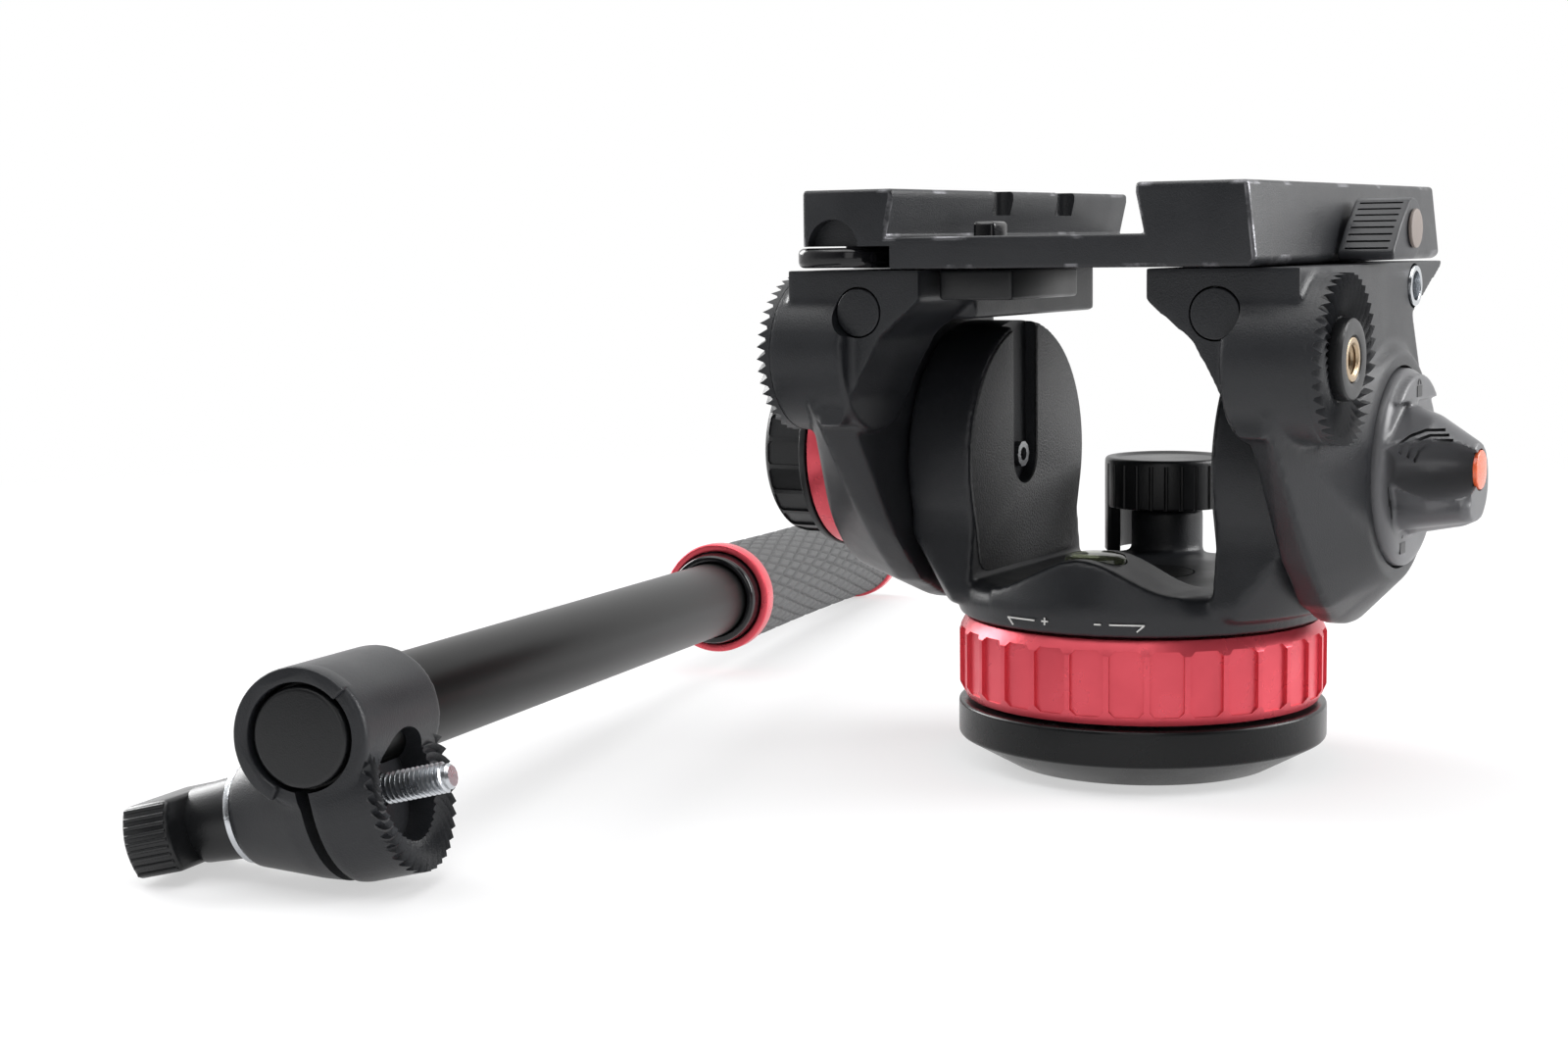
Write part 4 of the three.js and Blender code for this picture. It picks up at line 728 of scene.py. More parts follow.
@dataclass
class PanHousing:
    """The casting that turns on the base: bowl, hump, two uprights, boss of the pan lock.

    An upright's outline is a round head, drawn in at its waist, on a foot. The dip is how far the
    head goes on below its widest place, in degrees, and both half widths are shares of its radius.
    The dome's angles are in radians above the level's rim. Each stroke of the print runs between
    two places, given as an angle in degrees round the pan axis from the front and a height.
    """

    foot: float = 34.16
    top: float = 42.96
    radius: float = 42.3
    toe_inset: float = 1.1
    toe_round: float = 0.4
    belly_height: float = 4.4
    belly_round: float = 3.0
    rim_inset: float = 0.8
    rim_drop: float = 1.2
    rim_round: float = 2.0
    shoulder: float = 4.0
    shoulder_round: float = 1.0
    bore_radius: float = 10.3
    seat_radius: float = 12.1
    seat_depth: float = 1.9
    skirt_inner: float = 33.1
    skirt_outer: float = 35.1
    skirt_low: float = 22.16
    skirt_overlap: float = 0.8
    axis_height: float = 69.0
    head_radius: float = 31.0
    head_dip: float = 20.0
    waist_height: float = 54.0
    waist_share: float = 0.93
    waist_round: float = 14.0
    foot_share: float = 1.02
    foot_lift: float = 3.0
    foot_round: float = 4.0
    flare_radius: float = 60.0
    flare_height: float = 68.0
    room_top: float = 120.0
    inner: float = 28.0
    cover_seat: float = 0.4
    outer: float = 44.0
    pocket_radius: float = 24.0
    pocket_floor: float = 33.0
    cover_inset: float = 0.9
    cover_thickness: float = 0.9
    cover_sunk: float = 0.1
    cover_low: float = 1.2
    cover_dip: float = 14.0
    cover_waist_share: float = 0.9
    cover_waist_round: float = 12.0
    cover_foot_share: float = 0.84
    cover_foot_round: float = 5.0
    cover_round: float = 0.25
    slot_front: float = -8.4
    slot_back: float = 4.4
    slot_low: float = 62.4
    slot_depth: float = 3.0
    hump_middle: float = 1.7
    hump_half: float = 22.0
    hump_rise: float = 7.4
    hump_front: float = -46.0
    hump_back: float = -19.0
    hump_foot: float = 4.0
    hump_lean: float = 2.0
    hump_shoulder: float = 2.4
    cone_top: float = 60.0
    level_y: float = -30.0
    level_radius: float = 6.6
    level_depth: float = 4.4
    dome_low: float = 1.6
    dome_rim: float = 0.4
    dome_rise: float = 1.3
    dome_angles: tuple[float, ...] = (0.3, 0.6, 0.9, 1.2)
    cup_low: float = 4.0
    cup_high: float = 1.9
    cup_round: float = 0.2
    mark_inner: float = 2.7
    mark_outer: float = 3.0
    mark_low: float = 1.95
    mark_high: float = 1.75
    lock_x: float = -9.0
    lock_y: float = 38.0
    lock_boss_radius: float = 8.6
    lock_boss_round: float = 0.5
    lock_boss_top: float = 53.4
    lock_bore: float = 3.3
    lock_bore_floor: float = 41.1
    print_half: float = 0.16
    print_sunk: float = 0.06
    print_proud: float = 0.1
    print_strokes: tuple[tuple[Flat, Flat], ...] = (
        ((-10.05, 37.1), (-20.17, 37.1)), ((-20.17, 37.1), (-18.18, 35.6)),
        ((-7.7, 37.1), (-5.6, 37.1)), ((-6.67, 36.3), (-6.67, 37.9)), ((8.8, 37.2), (10.8, 37.2)),
        ((13.24, 37.2), (23.28, 37.2)), ((23.28, 37.2), (21.07, 35.8)),
    )
    grain: float = 0.75
    softening: int = 9
    place: Matrix = field(default_factory=head_place)

    def build(self) -> None:
        """Builds the casting and what is set into it."""
        casting = self._casting()
        set_piece("housing_casting", casting, self.place, "yoke", PAINT, ["pan_housing"], sharp=40)
        for side in Side:
            self._cover(side)
        self._level()
        self._marks()
        dress_nodes(["pan_bearing", "pan_axle_cap", "pan_rotor", "slot_bolt", "tilt_cartridge_cup",
                     "tilt_cartridge_cover", "tilt_bush_left", "tilt_brake_cup", "tilt_brake_cover",
                     "tilt_bush_right", "counterbalance_spring"])

    def _outline(self, radius: float, dip: float, waist: Corner, foot: Corner) -> list[Flat]:
        """Returns an upright's outline.

        Args:
            radius: Radius of the round head.
            dip: How far the head goes on below its widest place, in degrees.
            waist: The waist's half width as a share of the radius, its height and its rounding.
            foot: The foot's half width as a share of the radius, its height and its rounding.

        Returns:
            The outline's points, as places on Y and heights.
        """
        left = [(-radius * share, height, curve) for share, height, curve in (waist, foot)]
        right = [(-y, height, curve) for y, height, curve in reversed(left)]
        return rounded([*arc(0, self.axis_height, radius, -dip, 180 + dip, 60), *left, *right])

    def _upright(self) -> Form:
        """Returns the right upright: a round-headed plate that flares into the bowl."""
        outline = self._outline(self.head_radius, self.head_dip,
                                (self.waist_share, self.waist_height, self.waist_round),
                                (self.foot_share, self.foot + self.foot_lift, self.foot_round))
        plate = Form.prism(outline, self.inner + self.cover_seat, self.outer, Axis.X)
        cone = Form.turned([(0, self.foot), (self.radius + PLAY, self.foot),
                            (self.flare_radius, self.flare_height), (self.flare_radius, self.room_top),
                            (0, self.room_top)], steps=120)
        return plate.joined(Join.KEEP, cone)

    def _hump(self) -> Form:
        """Returns the wave-shaped hump at the bowl's front."""
        steps = 32
        crest = []
        for index in range(steps + 1):
            share = index / steps * 2 - 1
            rise = self.hump_rise / 2 * (1 + math.cos(share * math.pi))
            crest.append((self.hump_middle + share * self.hump_half, self.top + rise))
        low = self.foot + self.hump_foot
        outline = [*crest, (self.hump_middle + self.hump_half, low),
                   (self.hump_middle - self.hump_half, low)]
        wave = Form.prism(outline, self.hump_front, self.hump_back, Axis.Y)
        bowl = Form.turned([(0, self.foot), (self.radius, self.foot),
                            (self.radius, self.top - self.hump_shoulder),
                            (self.radius - self.hump_lean, self.top + self.hump_rise),
                            (0, self.cone_top)], steps=120)
        return wave.joined(Join.KEEP, bowl)

    def _slot(self, low: float, high: float) -> Form:
        """Returns the cutter of the bolt's slot, between two places on X."""
        middle = (self.slot_front + self.slot_back) / 2
        half = (self.slot_back - self.slot_front) / 2
        outline = [*arc(middle, self.slot_low + half, half, 180, 360, 20),
                   (self.slot_back, self.room_top), (self.slot_front, self.room_top)]
        return Form.prism(outline, low, high, Axis.X)

    def _casting(self) -> Form:
        """Returns the whole casting with its pockets cut."""
        bowl = Form.turned(rounded([(0, self.foot),
                                    (self.radius - self.toe_inset, self.foot, self.toe_round),
                                    (self.radius, self.foot + self.belly_height, self.belly_round),
                                    (self.radius - self.rim_inset, self.top - self.rim_drop, self.rim_round),
                                    (self.radius - self.shoulder, self.top, self.shoulder_round),
                                    (0, self.top)]), steps=120)
        at_lock = (self.lock_x, self.lock_y, 0)
        boss = Form.turned(disc(self.lock_boss_radius, self.foot + self.foot_lift, self.lock_boss_top,
                                self.lock_boss_round), centre=at_lock)
        upright = self._upright()
        whole = bowl.with_forms(boss, upright, upright.mirrored(), self._hump())
        melted = whole.cast(self.grain, self.softening)
        pocket = Form.turned(disc(self.pocket_radius, self.pocket_floor, self.outer + PAST), Axis.X,
                             (0, 0, self.axis_height))
        at_level = (self.hump_middle, self.level_y, 0)
        peak = self.top + self.hump_rise
        cuts = [
            Form.block((-self.flare_radius, -self.flare_radius, 0),
                       (self.flare_radius, self.flare_radius, self.foot)),
            pocket,
            pocket.mirrored(),
            self._slot(-self.inner - self.slot_depth, -self.inner + PAST),
            Form.turned(disc(self.bore_radius, self.foot - PAST, self.top + PAST)),
            Form.turned(disc(self.seat_radius, self.top - self.seat_depth, self.top + PAST)),
            Form.turned(disc(self.level_radius + PLAY, peak - self.level_depth, peak + PAST),
                        centre=at_level),
            Form.turned(disc(self.lock_bore, self.lock_bore_floor, self.lock_boss_top + PAST),
                        centre=at_lock, steps=32),
        ]
        skirt = Form.turned(hoop(self.skirt_inner, self.skirt_outer, self.skirt_low,
                                 self.foot + self.skirt_overlap))
        return melted.joined(Join.CUT, *cuts).with_forms(skirt)

    def _cover(self, side: Side) -> None:
        """Builds the textured cover on one upright's inner face."""
        outline = self._outline(self.head_radius - self.cover_inset, self.cover_dip,
                                (self.cover_waist_share, self.waist_height, self.cover_waist_round),
                                (self.cover_foot_share, self.top + self.cover_low, self.cover_foot_round))
        plate = Form.prism(outline, self.inner - self.cover_sunk, self.inner + self.cover_thickness,
                           Axis.X)
        if side is Side.LEFT:
            slot = self._slot(-self.inner - PAST, -self.inner + PAST)
            plate = plate.mirrored().joined(Join.CUT, slot)
        plate.cleaned().bevelled(self.cover_round, 2)
        set_piece(f"{side.value}_upright_cover", plate, self.place, "yoke", SPECKLED)

    def _level(self) -> None:
        """Builds the spirit level: lens, cup and ring mark."""
        peak = self.top + self.hump_rise
        rim = peak - self.dome_rim
        centre = (self.hump_middle, self.level_y, 0)
        curve = [(self.level_radius * math.cos(angle), rim + self.dome_rise * math.sin(angle))
                 for angle in self.dome_angles]
        dome = [(0, peak - self.dome_low), (self.level_radius, peak - self.dome_low),
                (self.level_radius, rim), *curve, (0, rim + self.dome_rise)]
        set_piece("level_lens_dome", Form.turned(dome, centre=centre, steps=64), self.place, "yoke", LENS,
                  ["level_vial"])
        dish = disc(self.level_radius, peak - self.cup_low, peak - self.cup_high, self.cup_round)
        cup = Form.turned(dish,
                          centre=centre, steps=64)
        set_piece("level_cup", cup, self.place, "yoke", GLOSS)
        mark = Form.turned(hoop(self.mark_inner, self.mark_outer, peak - self.mark_low,
                                peak - self.mark_high), centre=centre, steps=48)
        set_piece("level_ring_mark", mark, self.place, "yoke", PALE_GREY)

    def _marks(self) -> None:
        """Prints the plus, the minus and their two arrows on the bowl's front."""
        print_forms = Form()
        for (start, low), (end, high) in self.print_strokes:
            across = math.radians(end - start) * self.radius
            half = math.hypot(across, high - low) / 2
            stroke = Form.block((-half, -self.print_proud, -self.print_half),
                                (half, self.print_sunk, self.print_half))
            slope = math.atan2(high - low, across)
            turn = Matrix.Rotation(math.radians((start + end) / 2), 4, "Z")
            lift = Matrix.Translation((0, -self.radius, (low + high) / 2))
            print_forms.with_forms(stroke.moved(turn @ lift @ Matrix.Rotation(-slope, 4, "Y")))
        set_piece("drag_marks", print_forms, self.place, "yoke", PRINT)


@dataclass
class PanLock:
    """The lever behind the bowl that locks the pan.

    The skirt's two ends are angles in degrees about the lever's axis.
    """

    x: float = -9.0
    y: float = 38.0
    radius: float = 15.0
    bottom: float = 54.0
    bottom_round: float = 0.6
    top: float = 66.0
    top_round: float = 1.2
    dish_rim: float = 2.2
    dish_wall: float = 3.4
    dish_depth: float = 0.5
    dish_round: float = 0.3
    skirt_low: float = 43.2
    skirt_from: float = 140.0
    skirt_to: float = 225.0
    skirt_wall: float = 3.0
    skirt_round: float = 0.4
    overlap: float = 2.0
    spindle_radius: float = 3.0
    spindle_low: float = 41.4
    ribs: int = 26
    groove_radius: float = 0.55
    groove_out: float = 0.1
    groove_end: float = 1.4
    place: Matrix = field(default_factory=head_place)

    def build(self) -> None:
        """Builds the ribbed hub with its skirt and spindle."""
        centre = (self.x, self.y, 0)
        dish = self.top - self.dish_depth
        hub = Form.turned(rounded([(0, self.bottom), (self.radius, self.bottom, self.bottom_round),
                                   (self.radius, self.top, self.top_round),
                                   (self.radius - self.dish_rim, self.top, self.dish_round),
                                   (self.radius - self.dish_wall, dish, self.dish_round), (0, dish)]),
                          centre=centre)
        groove = Form.turned(disc(self.groove_radius, self.skirt_low - PAST, self.top - self.groove_end),
                             centre=(self.x + self.radius + self.groove_out, self.y, 0), steps=12)
        inside = self.radius - self.skirt_wall
        skirt_outline = [*arc(self.x, self.y, self.radius, self.skirt_from, self.skirt_to, 24),
                         *arc(self.x, self.y, inside, self.skirt_to, self.skirt_from, 24)]
        skirt = Form.prism(skirt_outline, self.skirt_low, self.bottom + self.overlap)
        spindle = Form.turned(disc(self.spindle_radius, self.spindle_low, self.bottom + self.overlap),
                              centre=centre, steps=32)
        body = hub.joined(Join.ADD, skirt.bevelled(self.skirt_round, 2))
        body = body.joined(Join.CUT, groove.repeated(self.ribs, centre)).with_forms(spindle)
        set_piece("pan_lock_hub", body, self.place, "pan_lock", PLASTIC, ["pan_lock_lever"])


@dataclass
class Arm:
    """One arm of the tilting cradle, shaped on the right and mirrored for the left.

    Its neck has a narrow front face up to a crease and one slope from there to the pod. The crease
    and the neck's inner edge are points (y, z), chosen to follow the casting's front.
    """

    side: Side
    axis_height: float = 69.0
    inner: float = 44.6
    outer: float = 59.5
    pod_radius: float = 34.4
    pod_inner_round: float = 0.8
    pod_round: float = 1.2
    slope_start: float = 49.5
    slope_round: float = 0.8
    collar_radius: float = 28.5
    collar_outer: float = 67.0
    crease_x: float = 51.0
    crease: tuple[Flat, ...] = ((-61.8, 84), (-58.6, 80), (-55.4, 76), (-52.2, 72), (-49.8, 69),
                                (-45.8, 64), (-42.5, 60), (-38.7, 56), (-34.7, 52), (-30.7, 48),
                                (-26.0, 44), (-22.1, 41))
    neck_edge: tuple[Flat, ...] = ((-57.2, 84), (-45.4, 69), (-34.3, 52), (-22.2, 41))
    neck_inset: float = 0.4
    neck_shoulder: float = 0.2
    neck_from: float = 60.0
    neck_to: float = 270.0
    top: float = 112.5
    flange_inner: float = 25.4
    flange_outer: float = 49.7
    flange_low: float = 101.4
    flange_lip: float = 6.5
    flange_depth: float = 27.0
    shelf_crop: float = 6.0
    shelf_overlap: float = 0.3
    gusset: Corner = (34.9, 98.3, 3.0)
    gusset_foot: Corner = (39.7, 90.0, 6.0)
    gusset_drop: float = 33.5
    front: float = -60.0
    back: float = 37.0
    web_drop: float = 22.0
    web_inset: float = 2.5
    web_front: Flat = (-48.0, 80.0)
    web_behind: Flat = (28.0, 77.0)
    web_shelf_y: float = 15.5
    web_bend: Flat = (25.8, 4.7)
    web_tip: float = 1.2
    rosette_y: float = -47.0
    rosette_z: float = 94.3
    rosette_radius: float = 17.0
    rosette_low: float = 42.0
    rosette_face: float = 61.2
    rosette_seat: float = 0.6
    rosette_round: float = 0.4
    tooth_root: float = 60.7
    tooth_tip: float = 62.9
    crown_inner: float = 8.6
    crown_back: float = 59.7
    boss_inner: float = 4.5
    boss_outer: float = 8.2
    boss_sunk: float = 1.0
    boss_proud: float = 0.9
    boss_round: float = 0.9
    insert_bore: float = 2.9
    insert_radius: float = 4.45
    insert_depth: float = 12.0
    insert_proud: float = 0.7
    insert_round: float = 0.3
    insert_mouth: float = 0.2
    insert_seat: float = 5.0
    insert_floor: float = 40.0
    thread_pitch: float = 1.1
    thread_depth: float = 0.4
    thread_lead: float = 0.5
    plug_x: float = 39.9
    plug_z: float = 103.6
    plug_radius: float = 5.1
    plug_proud: float = 0.25
    plug_depth: float = 2.6
    plug_round: float = 0.35
    plug_seat: float = 0.35
    plug_floor: float = 3.0
    accessory_y: float = 16.0
    accessory_z: float = 107.3
    accessory_bore: float = 3.2
    accessory_radius: float = 4.4
    accessory_low: float = 49.0
    accessory_high: float = 57.6
    accessory_round: float = 0.3
    accessory_seat: float = 4.9
    accessory_floor: float = 48.6
    shaft_seat: float = 6.3
    shaft_depth: float = 7.7
    dial_recess: float = 21.8
    dial_depth: float = 2.0
    spindle_bore: float = 3.3
    spindle_depth: float = 7.2
    knob_bore: float = 3.7
    knob_depth: float = 5.0
    room: float = 80.0
    grain: float = 0.75
    softening: int = 4
    place: Matrix = field(default_factory=head_place)

    def build(self) -> None:
        """Builds the casting, its rosette, plug and inserts."""
        hand = self.side.value
        self._set("arm_casting", self._casting(), PAINT, [f"{hand}_arm"], 40)
        at_rosette = Matrix.Translation((0, self.rosette_y, self.rosette_z)) @ TURN_TO[Axis.X]
        teeth = crown(self.crown_inner, self.rosette_radius, self.crown_back, self.tooth_root,
                      self.tooth_tip)
        self._set("rosette", teeth.moved(at_rosette), PAINT, [], 20)
        boss = Form.turned(hoop(self.boss_inner, self.boss_outer, self.rosette_face - self.boss_sunk,
                                self.tooth_tip + self.boss_proud, self.boss_round), steps=64)
        self._set("rosette_boss", boss.moved(at_rosette), PLASTIC)
        self._set("thread_insert", self._insert().moved(at_rosette), BRASS, [f"{hand}_rosette_insert"])
        plug = Form.turned(disc(self.plug_radius, self.front - self.plug_proud,
                                self.front + self.plug_depth, self.plug_round),
                           Axis.Y, (self.plug_x, 0, self.plug_z), steps=64)
        self._set("flange_plug", plug, PAINT, [f"{hand}_front_plug"])
        socket = Form.turned(hoop(self.accessory_bore, self.accessory_radius, self.accessory_low,
                                  self.accessory_high, self.accessory_round),
                             Axis.X, (0, self.accessory_y, self.accessory_z), steps=48)
        self._set("accessory_ring", socket, ZINC, [f"{hand}_accessory_insert"])
        dress_nodes([f"{hand}_{name}" for name in ("tilt_shaft", "arm_screw_front", "arm_screw_rear")])

    def _set(self, name: str, form: Form, finish: Finish, nodes: Sequence[str] = (),
             sharp: float = 32) -> None:
        """Sets a piece of the arm on its own side."""
        shape = form if self.side is Side.RIGHT else form.mirrored()
        set_piece(f"{self.side.value}_{name}", shape, self.place, "cradle", finish, nodes, sharp)

    def _insert(self) -> Form:
        """Returns the threaded insert, whose bore is stepped like the flanks of its thread."""
        low, high = self.tooth_tip - self.insert_depth, self.tooth_tip + self.insert_proud
        valley = self.insert_bore + self.thread_depth
        flanks = []
        for index in range(int((high - low - 2 * self.thread_lead) / self.thread_pitch)):
            at = high - self.thread_lead - index * self.thread_pitch
            flanks += [(self.insert_bore, at), (valley, at - self.thread_pitch / 2)]
        profile = rounded([(valley, low), (self.insert_radius, low),
                           (self.insert_radius, high, self.insert_round),
                           (self.insert_bore + self.thread_lead, high, self.insert_mouth), *flanks])
        return Form.turned(profile, steps=48)

    def _neck(self) -> Form:
        """Returns the neck: a narrow front face up to a crease, and one slope from there to the pod."""
        slope_x, slope_radius = self._slope_end()
        rims = [(self.inner, self.pod_radius - self.neck_inset),
                (self.slope_start, self.pod_radius - self.neck_shoulder), (slope_x, slope_radius)]
        return Form.hull(*[(self.crease_x, y, z) for y, z in self.crease],
                         *[(self.inner, y, z) for y, z in self.neck_edge],
                         *[(x, y, z) for x, radius in rims
                           for y, z in arc(0, self.axis_height, radius, self.neck_from, self.neck_to, 60)])

    def _slope_end(self) -> Flat:
        """Returns where the pod's slope ends, as its place on X and its radius there."""
        if self.side is Side.RIGHT:
            return self.outer, self.pod_radius - (self.outer - self.slope_start)
        return self.collar_outer, self.collar_radius

    def _web(self) -> Form:
        """Returns the flat web over the pod, between the rosette and the flange."""
        bend_y, bend_lift = self.web_bend
        outline = [(self.front, self.top), (self.front, self.top - self.web_drop), self.web_front,
                   (0, self.axis_height), self.web_behind, (self.web_shelf_y, self.flange_low),
                   (bend_y, self.flange_low + bend_lift), (self.back, self.top - self.web_tip),
                   (self.back, self.top)]
        return Form.prism(outline, self.inner, self.outer - self.web_inset, Axis.X)

    def _casting(self) -> Form:
        """Returns the arm's casting with its seats cut."""
        axis = (0, 0, self.axis_height)
        slope_x, slope_radius = self._slope_end()
        pod = Form.turned(rounded([(0, self.inner), (self.pod_radius, self.inner, self.pod_inner_round),
                                   (self.pod_radius, self.slope_start, self.pod_round),
                                   (slope_radius, slope_x, self.slope_round), (0, slope_x)]),
                          Axis.X, axis, steps=140)
        flange_end = self.front + self.flange_depth
        flange = Form.prism(rounded([(self.flange_inner, self.top),
                                     (self.flange_inner, self.top - self.flange_lip), self.gusset,
                                     self.gusset_foot, (self.inner, self.top - self.gusset_drop),
                                     (self.flange_outer, self.top - self.gusset_drop),
                                     (self.flange_outer, self.top)]), self.front, flange_end, Axis.Y)
        shelf_front = flange_end - self.shelf_overlap
        shelf = Form.prism([(self.flange_inner, shelf_front), (self.flange_outer, shelf_front),
                            (self.flange_outer, self.back), (self.flange_inner + self.shelf_crop, self.back),
                            (self.flange_inner, self.back - self.shelf_crop)], self.flange_low, self.top)
        boss = Form.turned(disc(self.rosette_radius, self.rosette_low, self.rosette_face - self.rosette_seat,
                                self.rosette_round), Axis.X, (0, self.rosette_y, self.rosette_z))
        whole = pod.with_forms(self._neck(), self._web(), flange, shelf, boss)
        return whole.cast(self.grain, self.softening).joined(Join.CUT, *self._seats(axis))

    def _seats(self, axis: Spot) -> list[Form]:
        """Returns what is cut out of the casting for the pieces that it holds."""
        at_rosette = (0, self.rosette_y, self.rosette_z)
        at_accessory = (0, self.accessory_y, self.accessory_z)
        cuts = [
            Form.block((0, -self.room, self.top), (self.room, self.room, self.top + self.room)),
            Form.turned(disc(self.insert_seat, self.insert_floor, self.room), Axis.X, at_rosette, steps=48),
            Form.turned(disc(self.plug_radius + self.plug_seat, self.front - PAST,
                             self.front + self.plug_floor), Axis.Y,
                        (self.plug_x, 0, self.plug_z), steps=64),
            Form.turned(disc(self.accessory_seat, self.accessory_floor, self.room), Axis.X, at_accessory,
                        steps=48),
            Form.turned(disc(self.shaft_seat, self.inner - PAST, self.inner + self.shaft_depth),
                        Axis.X, axis, steps=48),
        ]
        if self.side is Side.RIGHT:
            cuts.append(Form.turned(disc(self.dial_recess, self.outer - self.dial_depth, self.room), Axis.X,
                                    axis, steps=120))
            cuts.append(Form.turned(disc(self.spindle_bore, self.outer - self.spindle_depth, self.room),
                                    Axis.X, axis, steps=32))
        else:
            cuts.append(Form.turned(disc(self.knob_bore, self.outer - self.knob_depth, self.room), Axis.X,
                                    axis, steps=32))
        return cuts
@dataclass
class Platform:
    """The platform with the camera plate's channel, its release tab, catch and clamp.

    A span is two heights, and a round piece has its radius, start and end, then its edge's round.
    """

    section: tuple[Flat, ...] = ((-48.9, 112.8), (49.0, 112.8), (50.2, 114.0), (48.4, 129.4),
                                 (25.3, 129.4), (25.3, 127.4), (27.1, 119.4), (-30.4, 119.4),
                                 (-28.6, 127.4), (-28.6, 129.4), (-50.1, 129.4), (-50.1, 114.0))
    front: float = -65.6
    back: float = 59.4
    edge_round: float = 1.5
    notch_middles: Flat = (-12.0, 22.0)
    notch: Corners = ((-24.6, -5.5), (-24.6, 5.5), (-32.6, 4.4, 3.0), (-32.6, -4.4, 3.0))
    notch_span: Flat = (124.0, 133.4)
    tab_pocket: Box = ((-54.1, -69.6, 108.8), (-29.2, -46.7, 117.6))
    tab: Corners = ((-53.2, -47.0, 3.0), (-35.4, -47.0), (-35.4, -66.4, 7.0),
                               (-53.2, -66.4, 7.0))
    tab_span: Flat = (113.1, 117.3)
    tab_round: float = 1.3
    thumb_dent: Spot = (6.0, -69.6, -62.6)
    thumb_spot: Spot = (-42.75, 0.0, 117.3)
    catch: Box = ((-17.0, -51.5, 111.2), (-12.0, -44.5, 122.4))
    catch_round: float = 0.9
    catch_room: Box = ((-17.3, -51.8, 108.1), (-11.7, -44.2, 129.4))
    case: Box = ((-23.0, -55.5, 106.1), (-6.0, -22.0, 112.5))
    case_round: float = 0.8
    lever_axis: Spot = (0.0, -4.3, 119.7)
    lever_start: float = 50.7
    lever_end: float = 62.5
    lever_hub: float = 6.4
    lever_brow: Flat = (-6.7, 125.7)
    lever_cheek: Corner = (-13.2, 120.4, 12.0)
    lever_toe: Corner = (-18.2, 115.0, 1.6)
    lever_sole: Corner = (-17.9, 113.3, 0.8)
    lever_round: float = 0.6
    lever_grooves: int = 8
    groove_margin: float = 1.3
    groove_depth: float = 1.3
    groove_half: float = 0.26
    groove_out: float = 0.3
    groove_slant: float = -42.0
    spindle: Spot = (2.6, 31.2, 52.7)
    spindle_bore: Spot = (2.9, 21.3, 54.2)
    cap: tuple[float, ...] = (4.1, 62.6, 63.4, 0.3)
    jaw: Box = ((23.5, -20.3, 119.7), (28.9, 11.7, 125.7))
    jaw_round: float = 0.6
    jaw_pocket: Box = ((21.3, -20.8, 119.4), (31.2, 12.2, 126.4))
    screw_x: float = 36.0
    screw_y: float = 26.0
    screw_bore: Spot = (1.8, 108.8, 114.7)
    place: Matrix = field(default_factory=head_place)

    def build(self) -> None:
        """Builds the platform and the small pieces on it."""
        # The block's rounded edges carry pale specks, partly rubbed paint and partly a painted highlight.
        set_piece("platform_block", self._block(), self.place, "cradle", WORN_AND_HIGHLIT_PAINT, ["platform"],
                  sharp=30)
        tab = Form.prism(rounded(self.tab, steps=8), *self.tab_span).bevelled(self.tab_round, 5)
        set_piece("release_thumb_tab", tab, self.place, "release", GLOSS, ["release_tab"])
        pin = Form.block(*self.catch).bevelled(self.catch_round, 4)
        set_piece("catch_pin", pin, self.place, "catch", GLOSS, ["safety_catch"])
        case = Form.block(*self.case).bevelled(self.case_round)
        set_piece("catch_case", case.joined(Join.CUT, Form.block(*self.catch_room)), self.place, "cradle",
                  PLASTIC, ["catch_housing"])
        self._lever()
        jaw = Form.block(*self.jaw).bevelled(self.jaw_round, 2)
        set_piece("plate_jaw", jaw, self.place, "clamp_jaw", INNER_METAL, ["plate_clamp_jaw"])
        dress_nodes(["release_spring"])

    def _block(self) -> Form:
        """Returns the block with its channel, notches and pockets, and its edges rounded."""
        block = Form.prism(self.section, self.front, self.back, Axis.Y).bevelled(self.edge_round, 5)
        notches = []
        for middle in self.notch_middles:
            outline = rounded([(x, middle + y, *turn) for x, y, *turn in self.notch])
            notches.append(Form.prism(outline, *self.notch_span))
        return block.joined(Join.CUT, *notches, *self._pockets())

    def _pockets(self) -> list[Form]:
        """Returns what is cut out of the block for the tab, the thumb, catch, jaw, spindle and screws."""
        pockets = [Form.block(*box) for box in (self.tab_pocket, self.catch_room, self.jaw_pocket)]
        pockets.append(Form.turned(disc(*self.thumb_dent), Axis.Y, self.thumb_spot, steps=48))
        pockets.append(Form.turned(disc(*self.spindle_bore), Axis.X, self.lever_axis, steps=32))
        for x in (-self.screw_x, self.screw_x):
            for y in (-self.screw_y, self.screw_y):
                pockets.append(Form.turned(disc(*self.screw_bore), centre=(x, y, 0), steps=24))
        return pockets

